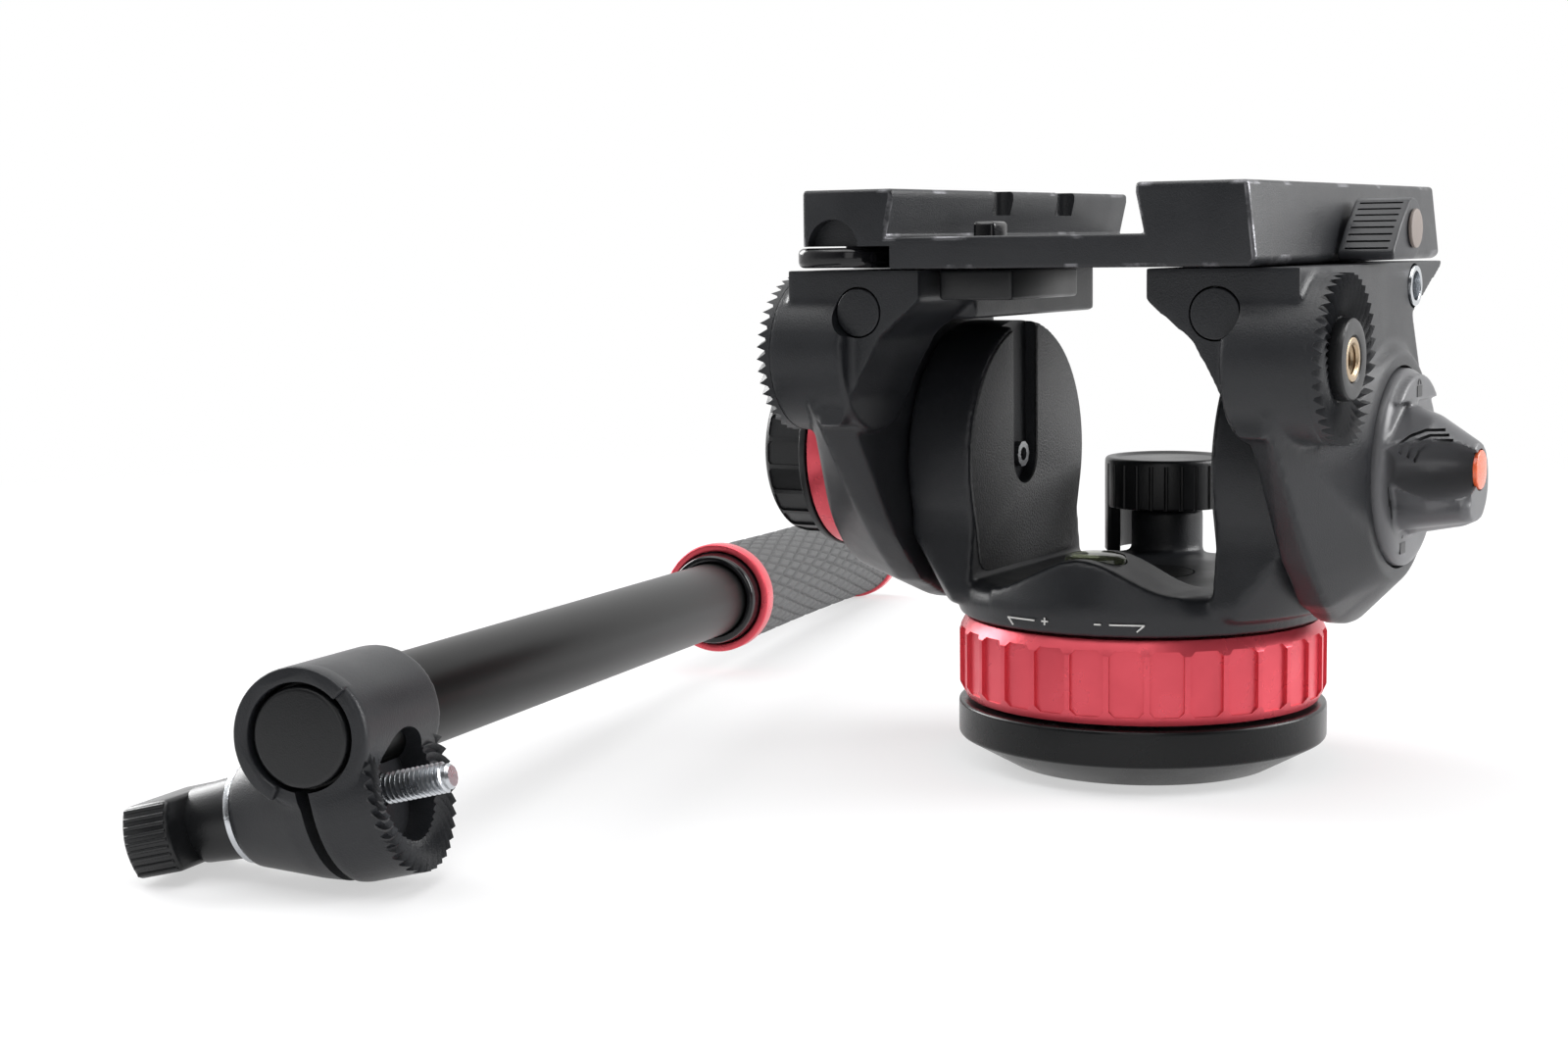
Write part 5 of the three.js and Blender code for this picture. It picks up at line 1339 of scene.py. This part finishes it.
    def _lever(self) -> None:
        """Builds the ribbed lever of the plate clamp and its cap."""
        start, end = self.lever_start, self.lever_end
        outline = rounded([*arc(*self.lever_axis[1:], self.lever_hub, -90, 110, 40), self.lever_brow,
                           self.lever_cheek, self.lever_toe, self.lever_sole])
        body = Form.prism(outline, start, end, Axis.X).bevelled(self.lever_round)
        slant = Matrix.Rotation(math.radians(self.groove_slant), 4, "X")
        brow, toe = Vector(self.lever_brow), Vector(self.lever_toe[:2])
        grooves = []
        for index in range(self.lever_grooves):
            spot = brow.lerp(toe, (index + 0.5) / self.lever_grooves)
            groove = Form.block((start + self.groove_margin, -self.groove_depth, -self.groove_half),
                                (end - self.groove_margin, self.groove_depth, self.groove_half))
            lift = Matrix.Translation((0, spot.x - self.groove_out, spot.y + self.groove_out))
            grooves.append(groove.moved(lift @ slant))
        spindle = Form.turned(disc(*self.spindle), Axis.X, self.lever_axis, steps=32)
        set_piece("plate_lever_paddle", body.joined(Join.CUT, *grooves).with_forms(spindle), self.place,
                  "clamp_lever", LEVER_PAINT, ["plate_lever"])
        cap = Form.turned(disc(*self.cap), Axis.X, self.lever_axis, steps=64)
        set_piece("lever_hub_cap", cap, self.place, "clamp_lever", CAP_BROWN, ["plate_lever_cap"])


@dataclass
class TiltControls:
    """The drag knob on the left and the lock dial with its handle on the right.

    Both are built about X at the height of the tilt's axis. A profile's corners are (radius, x), and
    each stage of the handle is an oval (x, y, z, half width, half height).
    """

    axis: Spot = (0.0, 0.0, 69.0)
    knob: Corners = ((0, 75.0), (20.8, 75.0), (20.8, 88.4, 3.5), (15.0, 88.4, 0.8),
                                (14.0, 87.6, 0.5), (0, 87.6))
    knob_radius: float = 20.8
    knob_panels: int = 20
    panel_reach: float = 20.1
    panel_low: float = 77.5
    panel_high: float = 86.8
    panel_share: float = 0.84
    panel_crop: float = 0.7
    rim: Corners = ((0, 75.0), (23.6, 75.0, 0.5), (23.6, 76.8, 0.6), (0, 76.8))
    knob_spindle: Spot = (3.4, 54.8, 76.0)
    band: tuple[float, ...] = (4.0, 23.2, 67.3, 74.7, 0.4)
    dial: Corners = ((0, 57.8), (21.2, 57.8, 0.3), (21.2, 61.0, 1.2), (19.2, 61.9, 1.0),
                                (0, 61.9))
    dial_spindle: Spot = (3.0, 52.8, 58.8)
    pad: tuple[float, ...] = (20.0, 46.0, 134.0)
    pad_span: Flat = (59.9, 63.4)
    grip_root: tuple[float, ...] = (60.4, -2.0, 69.0, 11.5, 14.5)
    grip_nose: Spot = (60.4, -19.8, 75.0)
    grip_waist: tuple[float, ...] = (69.9, -8.5, 69.3, 10.6, 11.7)
    grip_shoulder: tuple[float, ...] = (76.0, -10.6, 67.6, 8.6, 9.4)
    grip_end: tuple[float, ...] = (79.0, -10.6, 67.6, 7.0, 8.0)
    scoop_spot: Spot = (71.5, -22.5, 70.4)
    scoop_halves: Spot = (13.0, 14.5, 6.6)
    ledge_root: tuple[float, ...] = (60.9, -7.5, 60.8, 6.0, 4.6)
    ledge_shoulder: tuple[float, ...] = (77.5, -14.6, 62.3, 4.6, 3.0)
    ledge_end: tuple[float, ...] = (79.0, -14.0, 62.3, 3.8, 2.6)
    dial_grain: float = 0.5
    dial_softening: int = 5
    brow: tuple[Flat, ...] = ((62.9, 73.4), (64.2, 75.8), (66.1, 77.4), (69.0, 78.6), (72.4, 78.6))
    brow_grooves: int = 3
    brow_step: Flat = (1.05, -1.0)
    brow_width: Flat = (0.25, -0.6)
    brow_sunk: Spot = (-0.4, 1.1, -0.5)
    brow_reach: float = -40.0
    badge: Corners = ((0, 78.4), (4.1, 78.4, 0.2), (4.1, 79.3, 0.3), (0, 79.6))
    badge_spot: Spot = (0.0, -10.2, 70.0)
    badge_seat: Spot = (4.4, 78.1, 83.0)
    mark_proud: float = 0.12
    arrow_level: float = 61.9
    arrow: tuple[Flat, ...] = ((-17.6, 66.4), (-16.1, 62.9), (-15.6, 63.4), (-14.4, 59.4),
                               (-14.9, 59.4), (-16.3, 62.7), (-16.9, 62.2))
    padlock_half: float = 1.7
    padlock_height: float = 2.4
    arch_lift: float = 0.2
    arch_outer: float = 1.2
    arch_inner: float = 0.8
    closed_at: Spot = (63.4, -1.0, 84.2)
    open_at: Spot = (61.9, -6.5, 51.2)
    open_shift: float = 0.7
    place: Matrix = field(default_factory=head_place)

    def build(self) -> None:
        """Builds both controls."""
        self._knob()
        self._dial()
        badge = Form.turned(rounded(self.badge), Axis.X, self.badge_spot, steps=48)
        set_piece("lock_dial_badge", badge, self.place, "lock_dial", BADGE, ["tilt_lock_badge"])
        self._dial_marks()
        dress_nodes(["tilt_rotor", "tilt_brake_disc"])

    def _knob(self) -> None:
        """Builds the panelled knob and its red band."""
        grip = panelled(Form.turned(rounded(self.knob), steps=160), self.knob_panels,
                        reach=self.panel_reach, low=self.panel_low, high=self.panel_high,
                        share=self.panel_share, chamfer=self.panel_crop, radius=self.knob_radius)
        rim = Form.turned(rounded(self.rim), steps=160)
        spindle = Form.turned(disc(*self.knob_spindle), steps=32)
        side = Matrix.Translation(self.axis) @ TURN_TO[Axis.X]
        shape = grip.with_forms(rim, spindle).moved(side).mirrored()
        set_piece("drag_knob_grip", shape, self.place, "drag_knob", PLASTIC, ["tilt_drag_knob"], sharp=16)
        band = Form.turned(hoop(*self.band), steps=120)
        set_piece("drag_knob_band", band.moved(side).mirrored(), self.place, "drag_knob", RED,
                  ["tilt_drag_band"])

    def _dial(self) -> None:
        """Builds the dial with its pad and handle, and cuts the badge's seat and the brow's grooves."""
        plate = Form.turned(rounded(self.dial), Axis.X, self.axis, steps=120)
        pad = Form.prism(arc(0, self.axis[2], *self.pad, 24), *self.pad_span, Axis.X)
        whole = plate.with_forms(pad).with_forms(self._grip(), self._ledge())
        whole = whole.cast(self.dial_grain, self.dial_softening)
        seat = Form.turned(disc(*self.badge_seat), Axis.X, self.badge_spot, steps=48)
        spindle = Form.turned(disc(*self.dial_spindle), Axis.X, self.axis, steps=32)
        whole = whole.joined(Join.CUT, seat, *self._brow_grooves(whole)).with_forms(spindle)
        set_piece("lock_dial_handle", whole, self.place, "lock_dial", DIAL_GREY, ["tilt_lock_dial"],
                  sharp=40)

    def _grip(self) -> Form:
        """Returns the handle with its thumb scoop."""
        grip = Form.hull(*oval(*self.grip_root), self.grip_nose, *oval(*self.grip_waist),
                         *oval(*self.grip_shoulder), *oval(*self.grip_end))
        return grip.joined(Join.CUT, Form.ball(self.scoop_spot, self.scoop_halves))

    def _ledge(self) -> Form:
        """Returns the ledge that runs out under the scoop."""
        return Form.hull(*oval(*self.ledge_root), *oval(*self.ledge_shoulder), *oval(*self.ledge_end))

    def _brow_grooves(self, whole: Form) -> list[Form]:
        """Returns the cutters of the brow's grooves, which stay shallow under the handle's surface."""
        sunk = whole.copied().moved(Matrix.Translation(self.brow_sunk))
        step, width = Vector(self.brow_step), Vector(self.brow_width)
        grooves = []
        for index in range(self.brow_grooves):
            line = [Vector(spot) + step * index for spot in self.brow]
            outline = [*line, *[spot + width for spot in reversed(line)]]
            groove = Form.prism(rounded([tuple(spot) for spot in outline]), self.brow_reach, 0, Axis.Y)
            grooves.append(groove.joined(Join.CUT, sunk))
        return grooves

    def _dial_marks(self) -> None:
        """Sets an arrow and two padlock pictograms on the dial, one closed and one open."""
        marks = Form.prism(self.arrow, self.arrow_level - self.mark_proud,
                           self.arrow_level + self.mark_proud, Axis.X)
        marks.with_forms(*self._padlock(self.closed_at, 0.0), *self._padlock(self.open_at, self.open_shift))
        set_piece("dial_marks", marks, self.place, "lock_dial", PLASTIC)

    def _padlock(self, spot: Spot, shift: float) -> list[Form]:
        """Returns a padlock's body and its arch, which is shifted where the padlock is open."""
        level, middle, low = spot
        below, above = level - self.mark_proud, level + self.mark_proud
        body = Form.block((below, middle - self.padlock_half, low),
                          (above, middle + self.padlock_half, low + self.padlock_height))
        arch_z = low + self.padlock_height + self.arch_lift + shift
        arch = [*arc(middle + shift, arch_z, self.arch_outer, 0, 180, 12),
                *arc(middle + shift, arch_z, self.arch_inner, 180, 0, 12)]
        return [body, Form.prism(arch, below, above, Axis.X)]


@dataclass
class PanBar:
    """The bar: tube, end plug, rubber grip between red rings, end cap.

    The grip's lead is the length along the bar over which a groove passes to the next one round it.
    """

    radius: float = 10.0
    wall: float = 1.4
    start: float = 3.0
    tube_round: float = 0.3
    plug_inset: float = 0.6
    plug_round: float = 1.0
    plug_lip_round: float = 0.4
    plug_depth: float = 9.0
    grip_start: float = 241.0
    grip_length: float = 152.0
    grip_radius: float = 14.1
    grip_waist: float = 0.5
    grip_margin: float = 0.8
    grip_along: int = 300
    grip_around: int = 300
    groove_lead: float = 15.0
    groove_starts: int = 26
    groove_share: float = 0.34
    groove_depth: float = 0.7
    ring_radius: float = 15.0
    ring_width: float = 6.0
    ring_round: float = 0.8
    collar_radius: float = 12.6
    collar_start: float = 4.5
    collar_crop: float = 0.6
    collar_curve: float = 4.0
    collar_length: float = 9.0
    collar_mouth_round: float = 0.3
    collar_front_round: float = 1.2
    collar_round: float = 0.5
    cap_radius: float = 13.4
    cap_height: float = 4.0
    cap_rim_round: float = 0.3
    cap_round: float = 1.6
    place: Matrix = field(default_factory=bar_place)

    def build(self) -> None:
        """Builds the bar's pieces from the clamped end to the cap."""
        end = self.grip_start + self.grip_length
        near, far = self.grip_start, end - self.ring_width
        self._set("bar_tube", hoop(self.radius - self.wall, self.radius, self.start, end, self.tube_round),
                  TUBE, "pan_bar_tube")
        self._set("bar_plug", self._plug(), PLASTIC, "pan_bar_end_plug")
        self._set("grip_sleeve", self._collar(), GLOSS, "grip_collar")
        for name, at in (("near", near), ("far", far)):
            ring = hoop(self.collar_radius + PLAY, self.ring_radius, at, at + self.ring_width,
                        self.ring_round)
            self._set(f"{name}_red_ring", ring, RED, f"grip_ring_{name}")
        self._grip(near + self.ring_width + PLAY, far - PLAY)
        self._set("grip_cap", self._cap(end, far + PLAY), PLASTIC, "grip_end_cap")

    def _set(self, name: str, profile: Sequence[Flat], finish: Finish, node: str) -> None:
        """Turns and sets one piece of the bar."""
        set_piece(name, Form.turned(profile, Axis.Y), self.place, "bar", finish, [node])

    def _plug(self) -> list[Flat]:
        """Returns the profile of the plug in the tube's clamped end."""
        lip = self.start - PLAY
        outside, inside = self.radius - self.plug_inset, self.radius - self.wall - PLAY
        return rounded([(0, 0), (outside, 0, self.plug_round), (outside, lip, self.plug_lip_round),
                        (inside, lip), (inside, self.plug_depth), (0, self.plug_depth)])

    def _collar(self) -> list[Flat]:
        """Returns the profile of the glossy collar before the grip."""
        bore = self.radius + PLAY
        low = self.grip_start - self.collar_start
        high = low + self.collar_length
        return rounded([(bore, low, self.collar_mouth_round),
                        (self.collar_radius - self.collar_crop, low, self.collar_front_round),
                        (self.collar_radius, low + self.collar_curve, self.collar_round),
                        (self.collar_radius, high), (bore, high)])

    def _cap(self, end: float, seat: float) -> list[Flat]:
        """Returns the profile of the end cap, whose rim reaches back to a seat under the far ring."""
        bore = self.radius + PLAY
        low, high = end + PLAY, end + self.cap_height
        return rounded([(0, low), (bore, low), (bore, seat), (self.collar_radius, seat),
                        (self.collar_radius, low), (self.cap_radius, low, self.cap_rim_round),
                        (self.cap_radius, high, self.cap_round), (0, high)])

    def _grip(self, low: float, high: float) -> None:
        """Builds the rubber sleeve, with long diamonds between fine crossing grooves."""
        bore = self.radius + PLAY
        points = []
        for index in range(self.grip_along + 1):
            share = index / self.grip_along
            radius = self.grip_radius - self.grip_waist * math.sin(math.pi * share)
            points.append((radius, low + (high - low) * share))
        form = Form.turned([(bore, low), *points, (bore, high)], steps=self.grip_around)
        for vert in form.mesh.verts:
            radius = math.hypot(vert.co.x, vert.co.y)
            if radius > bore + PLAY and low + self.grip_margin < vert.co.z < high - self.grip_margin:
                depth = self._groove(math.atan2(vert.co.y, vert.co.x) / math.tau, vert.co.z)
                vert.co.xy *= (radius - self.groove_depth * depth) / radius
        form.moved(TURN_TO[Axis.Y])
        set_piece("grip_rubber_sleeve", form, self.place, "bar", RUBBER, ["rubber_grip"], sharp=60)

    def _groove(self, turn: float, along: float) -> float:
        """Returns how deep in a groove the sleeve's surface lies, from 0 to 1.

        Args:
            turn: The place round the sleeve, in turns.
            along: The place along it.

        Returns:
            The share of a groove's depth.
        """
        round_phase, run = turn * self.groove_starts, along / self.groove_lead
        depth = 0.0
        for phase in (round_phase + run, round_phase - run):
            off = abs((phase % 1) - 0.5) * 2
            depth = max(depth, (off - 1) / self.groove_share + 1)
        return depth


@dataclass
class BarClamp:
    """The clamp at the bar's end with its toothed face, screw, washer and winged knob.

    The jaw is a lip round the tube's end, between two angles in degrees about the bar. The crest
    shares say where in its pitch the thread has risen, starts to fall and has fallen.
    """

    bar_radius: float = 10.0
    collar_radius: float = 13.1
    collar_start: float = 0.6
    collar_round: float = 0.8
    length: float = 33.0
    screw_y: float = 17.0
    screw_z: float = -13.6
    crown_radius: float = 16.6
    crown_inner: float = 10.6
    crown_reach: float = 12.0
    crown_root: float = 10.3
    crown_back: float = 9.1
    crown_swirl: float = -18.0
    crown_round: float = 0.3
    block_round: float = 3.0
    knob_reach: float = 22.0
    neck_radius: float = 10.0
    neck_round: float = 0.8
    shoulder_x: float = -8.0
    shoulder_inset: float = 2.0
    shoulder_round: float = 4.0
    grain: float = 0.6
    softening: int = 6
    jaw_from: float = 32.0
    jaw_to: float = 232.0
    jaw_bore: float = 10.2
    jaw_end: float = 4.0
    jaw_round: float = 0.5
    slit_left: float = -3.6
    slit_width: float = 2.6
    slit_depth: float = 40.0
    recess: float = 5.0
    room: float = 20.0
    screw_radius: float = 3.0
    screw_start: float = -33.0
    screw_tip: float = 20.0
    screw_core: float = 0.55
    screw_lead: float = 0.5
    tip_inset: float = 1.0
    tip_length: float = 0.6
    thread_start: float = 5.0
    thread_lead: float = 0.2
    thread_end: float = 1.2
    thread_root: float = 0.7
    thread_steps: int = 24
    crest_shares: tuple[float, float, float] = (0.36, 0.48, 0.84)
    pitch: float = 1.0
    washer_radius: float = 9.2
    washer_low: float = -23.7
    washer_high: float = -22.3
    washer_round: float = 0.35
    hub_start: float = -34.0
    hub_end: float = -24.0
    hub_radius: float = 8.0
    hub_inset: float = 0.6
    hub_round: float = 1.0
    hub_end_round: float = 0.8
    wing_start: float = -43.0
    wing_end: float = -33.0
    wing_half: float = 6.9
    wing_reach: float = 13.7
    wing_bulge: float = 2.3
    wing_round: float = 0.9
    wing_steps: int = 6
    ribs: int = 9
    rib_radius: float = 0.45
    rib_sunk: float = 0.1
    rib_margin: float = 0.6
    rib_round: float = 0.3
    rib_span_share: float = 0.87
    place: Matrix = field(default_factory=bar_place)

    def build(self) -> None:
        """Builds the clamp and what its screw carries."""
        centre = (0, self.screw_y, self.screw_z)
        at_screw = Matrix.Translation(centre) @ TURN_TO[Axis.X]
        self._clamp(centre)
        teeth = crown(self.crown_inner, self.crown_radius, self.crown_back, self.crown_root,
                      self.crown_reach, self.crown_swirl)
        set_piece("clamp_rosette", teeth.moved(at_screw), self.place, "bar_clamp", PAINT, sharp=20)
        screw = self._screw().with_forms(self._thread())
        set_piece("clamp_bolt", screw.moved(at_screw), self.place, "wing_knob", ZINC, ["clamp_screw"])
        washer = Form.turned(hoop(self.screw_radius + PLAY, self.washer_radius, self.washer_low,
                                  self.washer_high, self.washer_round))
        set_piece("clamp_zinc_washer", washer.moved(at_screw), self.place, "wing_knob", ZINC,
                  ["clamp_washer"])
        self._knob(at_screw)

    def _clamp(self, centre: Spot) -> None:
        """Builds the split collar with the block that carries the toothed face."""
        collar = Form.turned(disc(self.collar_radius, self.collar_start, self.length, self.collar_round),
                             Axis.Y, steps=120)
        block = Form.turned(rounded([(0, -self.knob_reach),
                                     (self.neck_radius, -self.knob_reach, self.neck_round),
                                     (self.crown_radius - self.shoulder_inset, self.shoulder_x,
                                      self.shoulder_round),
                                     (self.crown_radius, 0, self.block_round),
                                     (self.crown_radius, self.crown_root, self.crown_round),
                                     (0, self.crown_root)]), Axis.X, centre, steps=120)
        melted = collar.with_forms(block).cast(self.grain, self.softening)
        jaw = Form.prism([*arc(0, 0, self.collar_radius, self.jaw_from, self.jaw_to, 60),
                          *arc(0, 0, self.jaw_bore, self.jaw_to, self.jaw_from, 60)],
                         -self.collar_start, self.jaw_end, Axis.Y).bevelled(self.jaw_round)
        cuts = [
            Form.turned(disc(self.bar_radius + PLAY, -PAST, self.length + PAST), Axis.Y),
            Form.block((self.slit_left, -PAST, -self.slit_depth),
                       (self.slit_left + self.slit_width, self.length + PAST, 0)),
            Form.turned(disc(self.crown_inner, self.recess, self.room), Axis.X, centre),
            Form.turned(disc(self.screw_radius + PLAY, self.screw_start, self.room), Axis.X, centre,
                        steps=32),
        ]
        body = melted.joined(Join.CUT, *cuts).with_forms(jaw)
        set_piece("clamp_casting", body, self.place, "bar_clamp", PAINT, ["pan_bar_clamp"], sharp=40)

    def _screw(self) -> Form:
        """Returns the screw's plain core along Z."""
        core = self.screw_radius - self.screw_core
        return Form.turned([(0, self.screw_start), (self.screw_radius, self.screw_start),
                            (self.screw_radius, self.thread_start),
                            (core, self.thread_start + self.screw_lead),
                            (core, self.screw_tip - self.tip_length),
                            (self.screw_radius - self.tip_inset, self.screw_tip), (0, self.screw_tip)],
                           steps=48)

    def _thread(self) -> Form:
        """Returns the thread round the core: its section, spun up Z."""
        thread = Form()
        turns = int((self.screw_tip - self.thread_end - self.thread_start) / self.pitch)
        steps = self.thread_steps * turns
        low = self.thread_start + self.thread_lead
        root, tip = self.screw_radius - self.thread_root, self.screw_radius
        rise, crest, fall = (low + share * self.pitch for share in self.crest_shares)
        spots = [thread.mesh.verts.new((radius, 0, height))
                 for radius, height in ((root, low), (tip, rise), (tip, crest), (root, fall))]
        edges = [thread.mesh.edges.new(pair) for pair in zip(spots, spots[1:] + spots[:1])]
        thread.mesh.faces.new(spots)
        made = bmesh.ops.spin(thread.mesh, geom=edges + spots, cent=(0, 0, 0), axis=(0, 0, 1),
                              dvec=(0, 0, self.pitch * turns / steps), angle=math.tau * turns,
                              steps=steps, use_merge=False, use_duplicate=False)
        last = [item for item in made["geom_last"] if isinstance(item, bmesh.types.BMVert)]
        bmesh.ops.contextual_create(thread.mesh, geom=last)
        return thread.cleaned()

    def _knob(self, at_screw: Matrix) -> None:
        """Builds the winged knob: a neck, and a paddle with curved, ribbed ends."""
        neck = Form.turned(rounded([(0, self.hub_start),
                                    (self.hub_radius - self.hub_inset, self.hub_start, self.hub_round),
                                    (self.hub_radius, self.hub_end, self.hub_end_round),
                                    (0, self.hub_end)])).moved(at_screw)
        shares = [index / self.wing_steps for index in range(-self.wing_steps, self.wing_steps + 1)]
        outline = [*[self._wing_edge(-1, share) for share in shares],
                   *[self._wing_edge(1, share) for share in reversed(shares)]]
        wing = Form.prism(outline, self.wing_start, self.wing_end, Axis.X).bevelled(self.wing_round)
        ribs = Form()
        middle = (self.ribs - 1) / 2
        for side in (-1, 1):
            for index in range(self.ribs):
                y, z = self._wing_edge(side, (index - middle) / middle * self.rib_span_share)
                rib = disc(self.rib_radius, self.wing_start + self.rib_margin,
                           self.wing_end - self.rib_margin, self.rib_round)
                ribs.with_forms(Form.turned(rib, Axis.X, (0, y - side * self.rib_sunk, z), steps=12))
        paddle = wing.joined(Join.ADD, neck).with_forms(ribs)
        set_piece("wing_paddle", paddle, self.place, "wing_knob", PLASTIC, ["clamp_wing_knob"], sharp=30)

    def _wing_edge(self, side: int, share: float) -> Flat:
        """Returns a place (y, z) on the wing's curved end, by its share of the half height."""
        reach = self.wing_reach - self.wing_bulge * share**2
        return self.screw_y + side * reach, self.screw_z + self.wing_half * share


@dataclass(frozen=True)
class Softbox:
    """A square softbox. Its places and its size are in metres, its power is in watts."""

    name: str
    spot: Spot
    target: Spot
    size: float
    power: float

    def hang(self) -> None:
        """Hangs the softbox so that it faces its target."""
        lamp = bpy.data.lights.new(self.name, "AREA")
        lamp.size = self.size
        lamp.energy = self.power
        made = bpy.data.objects.new(self.name, lamp)
        made.location = self.spot
        aim = Vector(self.target) - Vector(self.spot)
        made.rotation_euler = aim.to_track_quat("-Z", "Y").to_euler()
        bpy.context.scene.collection.objects.link(made)


SOFTBOXES = (
    Softbox("top_softbox", (0.0, -0.25, 1.2), (0.0, 0.0, 0.05), 1.3, 15),
    Softbox("right_back_softbox", (0.95, 0.50, 0.55), (0.05, 0.0, 0.07), 0.7, 15),
    Softbox("left_softbox", (-1.0, 0.10, 0.50), (0.0, 0.0, 0.06), 0.6, 12),
    Softbox("front_fill", (0.5, -1.3, 0.5), (0.0, 0.0, 0.06), 0.8, 2.5),
)


@dataclass(frozen=True)
class Studio:
    """The pale floor, the room's even light and the camera, in metres and degrees.

    The floor turns white between two distances from the object. The room is dimmer on the camera's
    side for reflections: the two room shares say where it turns dim, from straight towards the
    camera at -1 to straight away from it at 1.
    """

    floor_half: float = 4.0
    floor_drop: float = 0.0001
    floor_colour: Colour = (0.90, 0.90, 0.91)
    floor_rough: float = 0.7
    near_white: float = 0.55
    white_from: float = 0.30
    white_to: float = 0.80
    world_strength: float = 0.12
    room_dim: float = 0.06
    room_shares: Flat = (-0.75, 0.1)
    lens: float = 55.1
    sensor: float = 36.0
    clip_start: float = 0.01
    clip_end: float = 50.0
    yaw: float = math.radians(30.92)
    pitch: float = math.radians(6.65)
    roll: float = math.radians(-0.82)
    camera_spot: Spot = (0.267754, -0.511138, 0.11860)

    def build(self) -> None:
        """Sets up floor, world, lamps and camera."""
        self._floor()
        self._world()
        for softbox in SOFTBOXES:
            softbox.hang()
        self._camera()

    def _floor(self) -> None:
        """Lays the pale floor, which keeps the object's shadow and is seen as white farther away."""
        form = Form()
        bmesh.ops.create_grid(form.mesh, x_segments=1, y_segments=1, size=self.floor_half)
        floor = form.moved(Matrix.Translation((0, 0, -self.floor_drop))).as_object("studio_floor")
        paint = bpy.data.materials.new("pale_floor")
        paint.use_nodes = True
        tree = paint.node_tree
        shader = tree.nodes["Principled BSDF"]
        shader.inputs["Base Color"].default_value = (*self.floor_colour, 1)
        shader.inputs["Roughness"].default_value = self.floor_rough
        away = tree.nodes.new("ShaderNodeVectorMath")
        away.operation = "LENGTH"
        tree.links.new(tree.nodes.new("ShaderNodeTexCoord").outputs["Object"], away.inputs[0])
        fade = ranged(tree, away.outputs["Value"], (self.white_from, self.white_to),
                      (self.near_white, 1), smooth=True)
        white = tree.nodes.new("ShaderNodeEmission")
        mix = tree.nodes.new("ShaderNodeMixShader")
        tree.links.new(combined(tree, "MULTIPLY", fade, self._seen(tree)), mix.inputs["Fac"])
        tree.links.new(shader.outputs["BSDF"], mix.inputs[1])
        tree.links.new(white.outputs["Emission"], mix.inputs[2])
        tree.links.new(mix.outputs["Shader"], tree.nodes["Material Output"].inputs["Surface"])
        floor.data.materials.append(paint)

    def _seen(self, tree: bpy.types.NodeTree) -> bpy.types.NodeSocket:
        """Returns 1 for rays of the camera, of a reflection or through glass, and 0 for the others."""
        path = tree.nodes.new("ShaderNodeLightPath").outputs
        mirrored = combined(tree, "MAXIMUM", path["Is Camera Ray"], path["Is Glossy Ray"])
        return combined(tree, "MAXIMUM", mirrored, path["Is Transmission Ray"])

    def _world(self) -> None:
        """Fills the room with even light, seen as white."""
        world = bpy.data.worlds.new("studio")
        bpy.context.scene.world = world
        world.use_nodes = True
        tree = world.node_tree
        back = tree.nodes["Background"]
        back.inputs["Color"].default_value = (1, 1, 1, 1)
        level = ranged(tree, self._seen(tree), (0, 1), (self.world_strength, 1))
        side = tree.nodes.new("ShaderNodeVectorMath")
        side.operation = "DOT_PRODUCT"
        side.inputs[1].default_value = (-math.sin(self.yaw), math.cos(self.yaw), 0)
        tree.links.new(tree.nodes.new("ShaderNodeTexCoord").outputs["Generated"], side.inputs[0])
        room = ranged(tree, side.outputs["Value"], self.room_shares, (self.room_dim, 1), smooth=True)
        seen_directly = tree.nodes.new("ShaderNodeLightPath").outputs["Is Camera Ray"]
        strength = combined(tree, "MULTIPLY", level, combined(tree, "MAXIMUM", room, seen_directly))
        tree.links.new(strength, back.inputs["Strength"])

    def _camera(self) -> None:
        """Stands the camera where the photograph was taken from."""
        camera = bpy.data.cameras.new("photo_camera")
        camera.lens = self.lens
        camera.sensor_width = self.sensor
        camera.clip_start = self.clip_start
        camera.clip_end = self.clip_end
        level = Vector((math.cos(self.yaw), math.sin(self.yaw), 0))
        flat_ahead = Vector((-math.sin(self.yaw), math.cos(self.yaw), 0))
        ahead = flat_ahead * math.cos(self.pitch) - Vector((0, 0, math.sin(self.pitch)))
        upright = level.cross(ahead)
        right = level * math.cos(self.roll) + upright * math.sin(self.roll)
        up = upright * math.cos(self.roll) - level * math.sin(self.roll)
        made = bpy.data.objects.new("photo_camera", camera)
        turn = Matrix((right, up, -ahead)).transposed().to_4x4()
        made.matrix_world = Matrix.Translation(self.camera_spot) @ turn
        bpy.context.scene.collection.objects.link(made)
        bpy.context.scene.camera = made


def main() -> None:
    """Builds the head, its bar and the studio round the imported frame."""
    logging.basicConfig(level=logging.INFO, format="%(name)s: %(message)s")
    bpy.context.scene.view_settings.view_transform = "Standard"
    BaseFoot().build()
    DragRing().build()
    PanHousing().build()
    PanLock().build()
    for side in Side:
        Arm(side).build()
    Platform().build()
    TiltControls().build()
    PanBar().build()
    BarClamp().build()
    Studio().build()


if __name__ == "__main__":
    main()
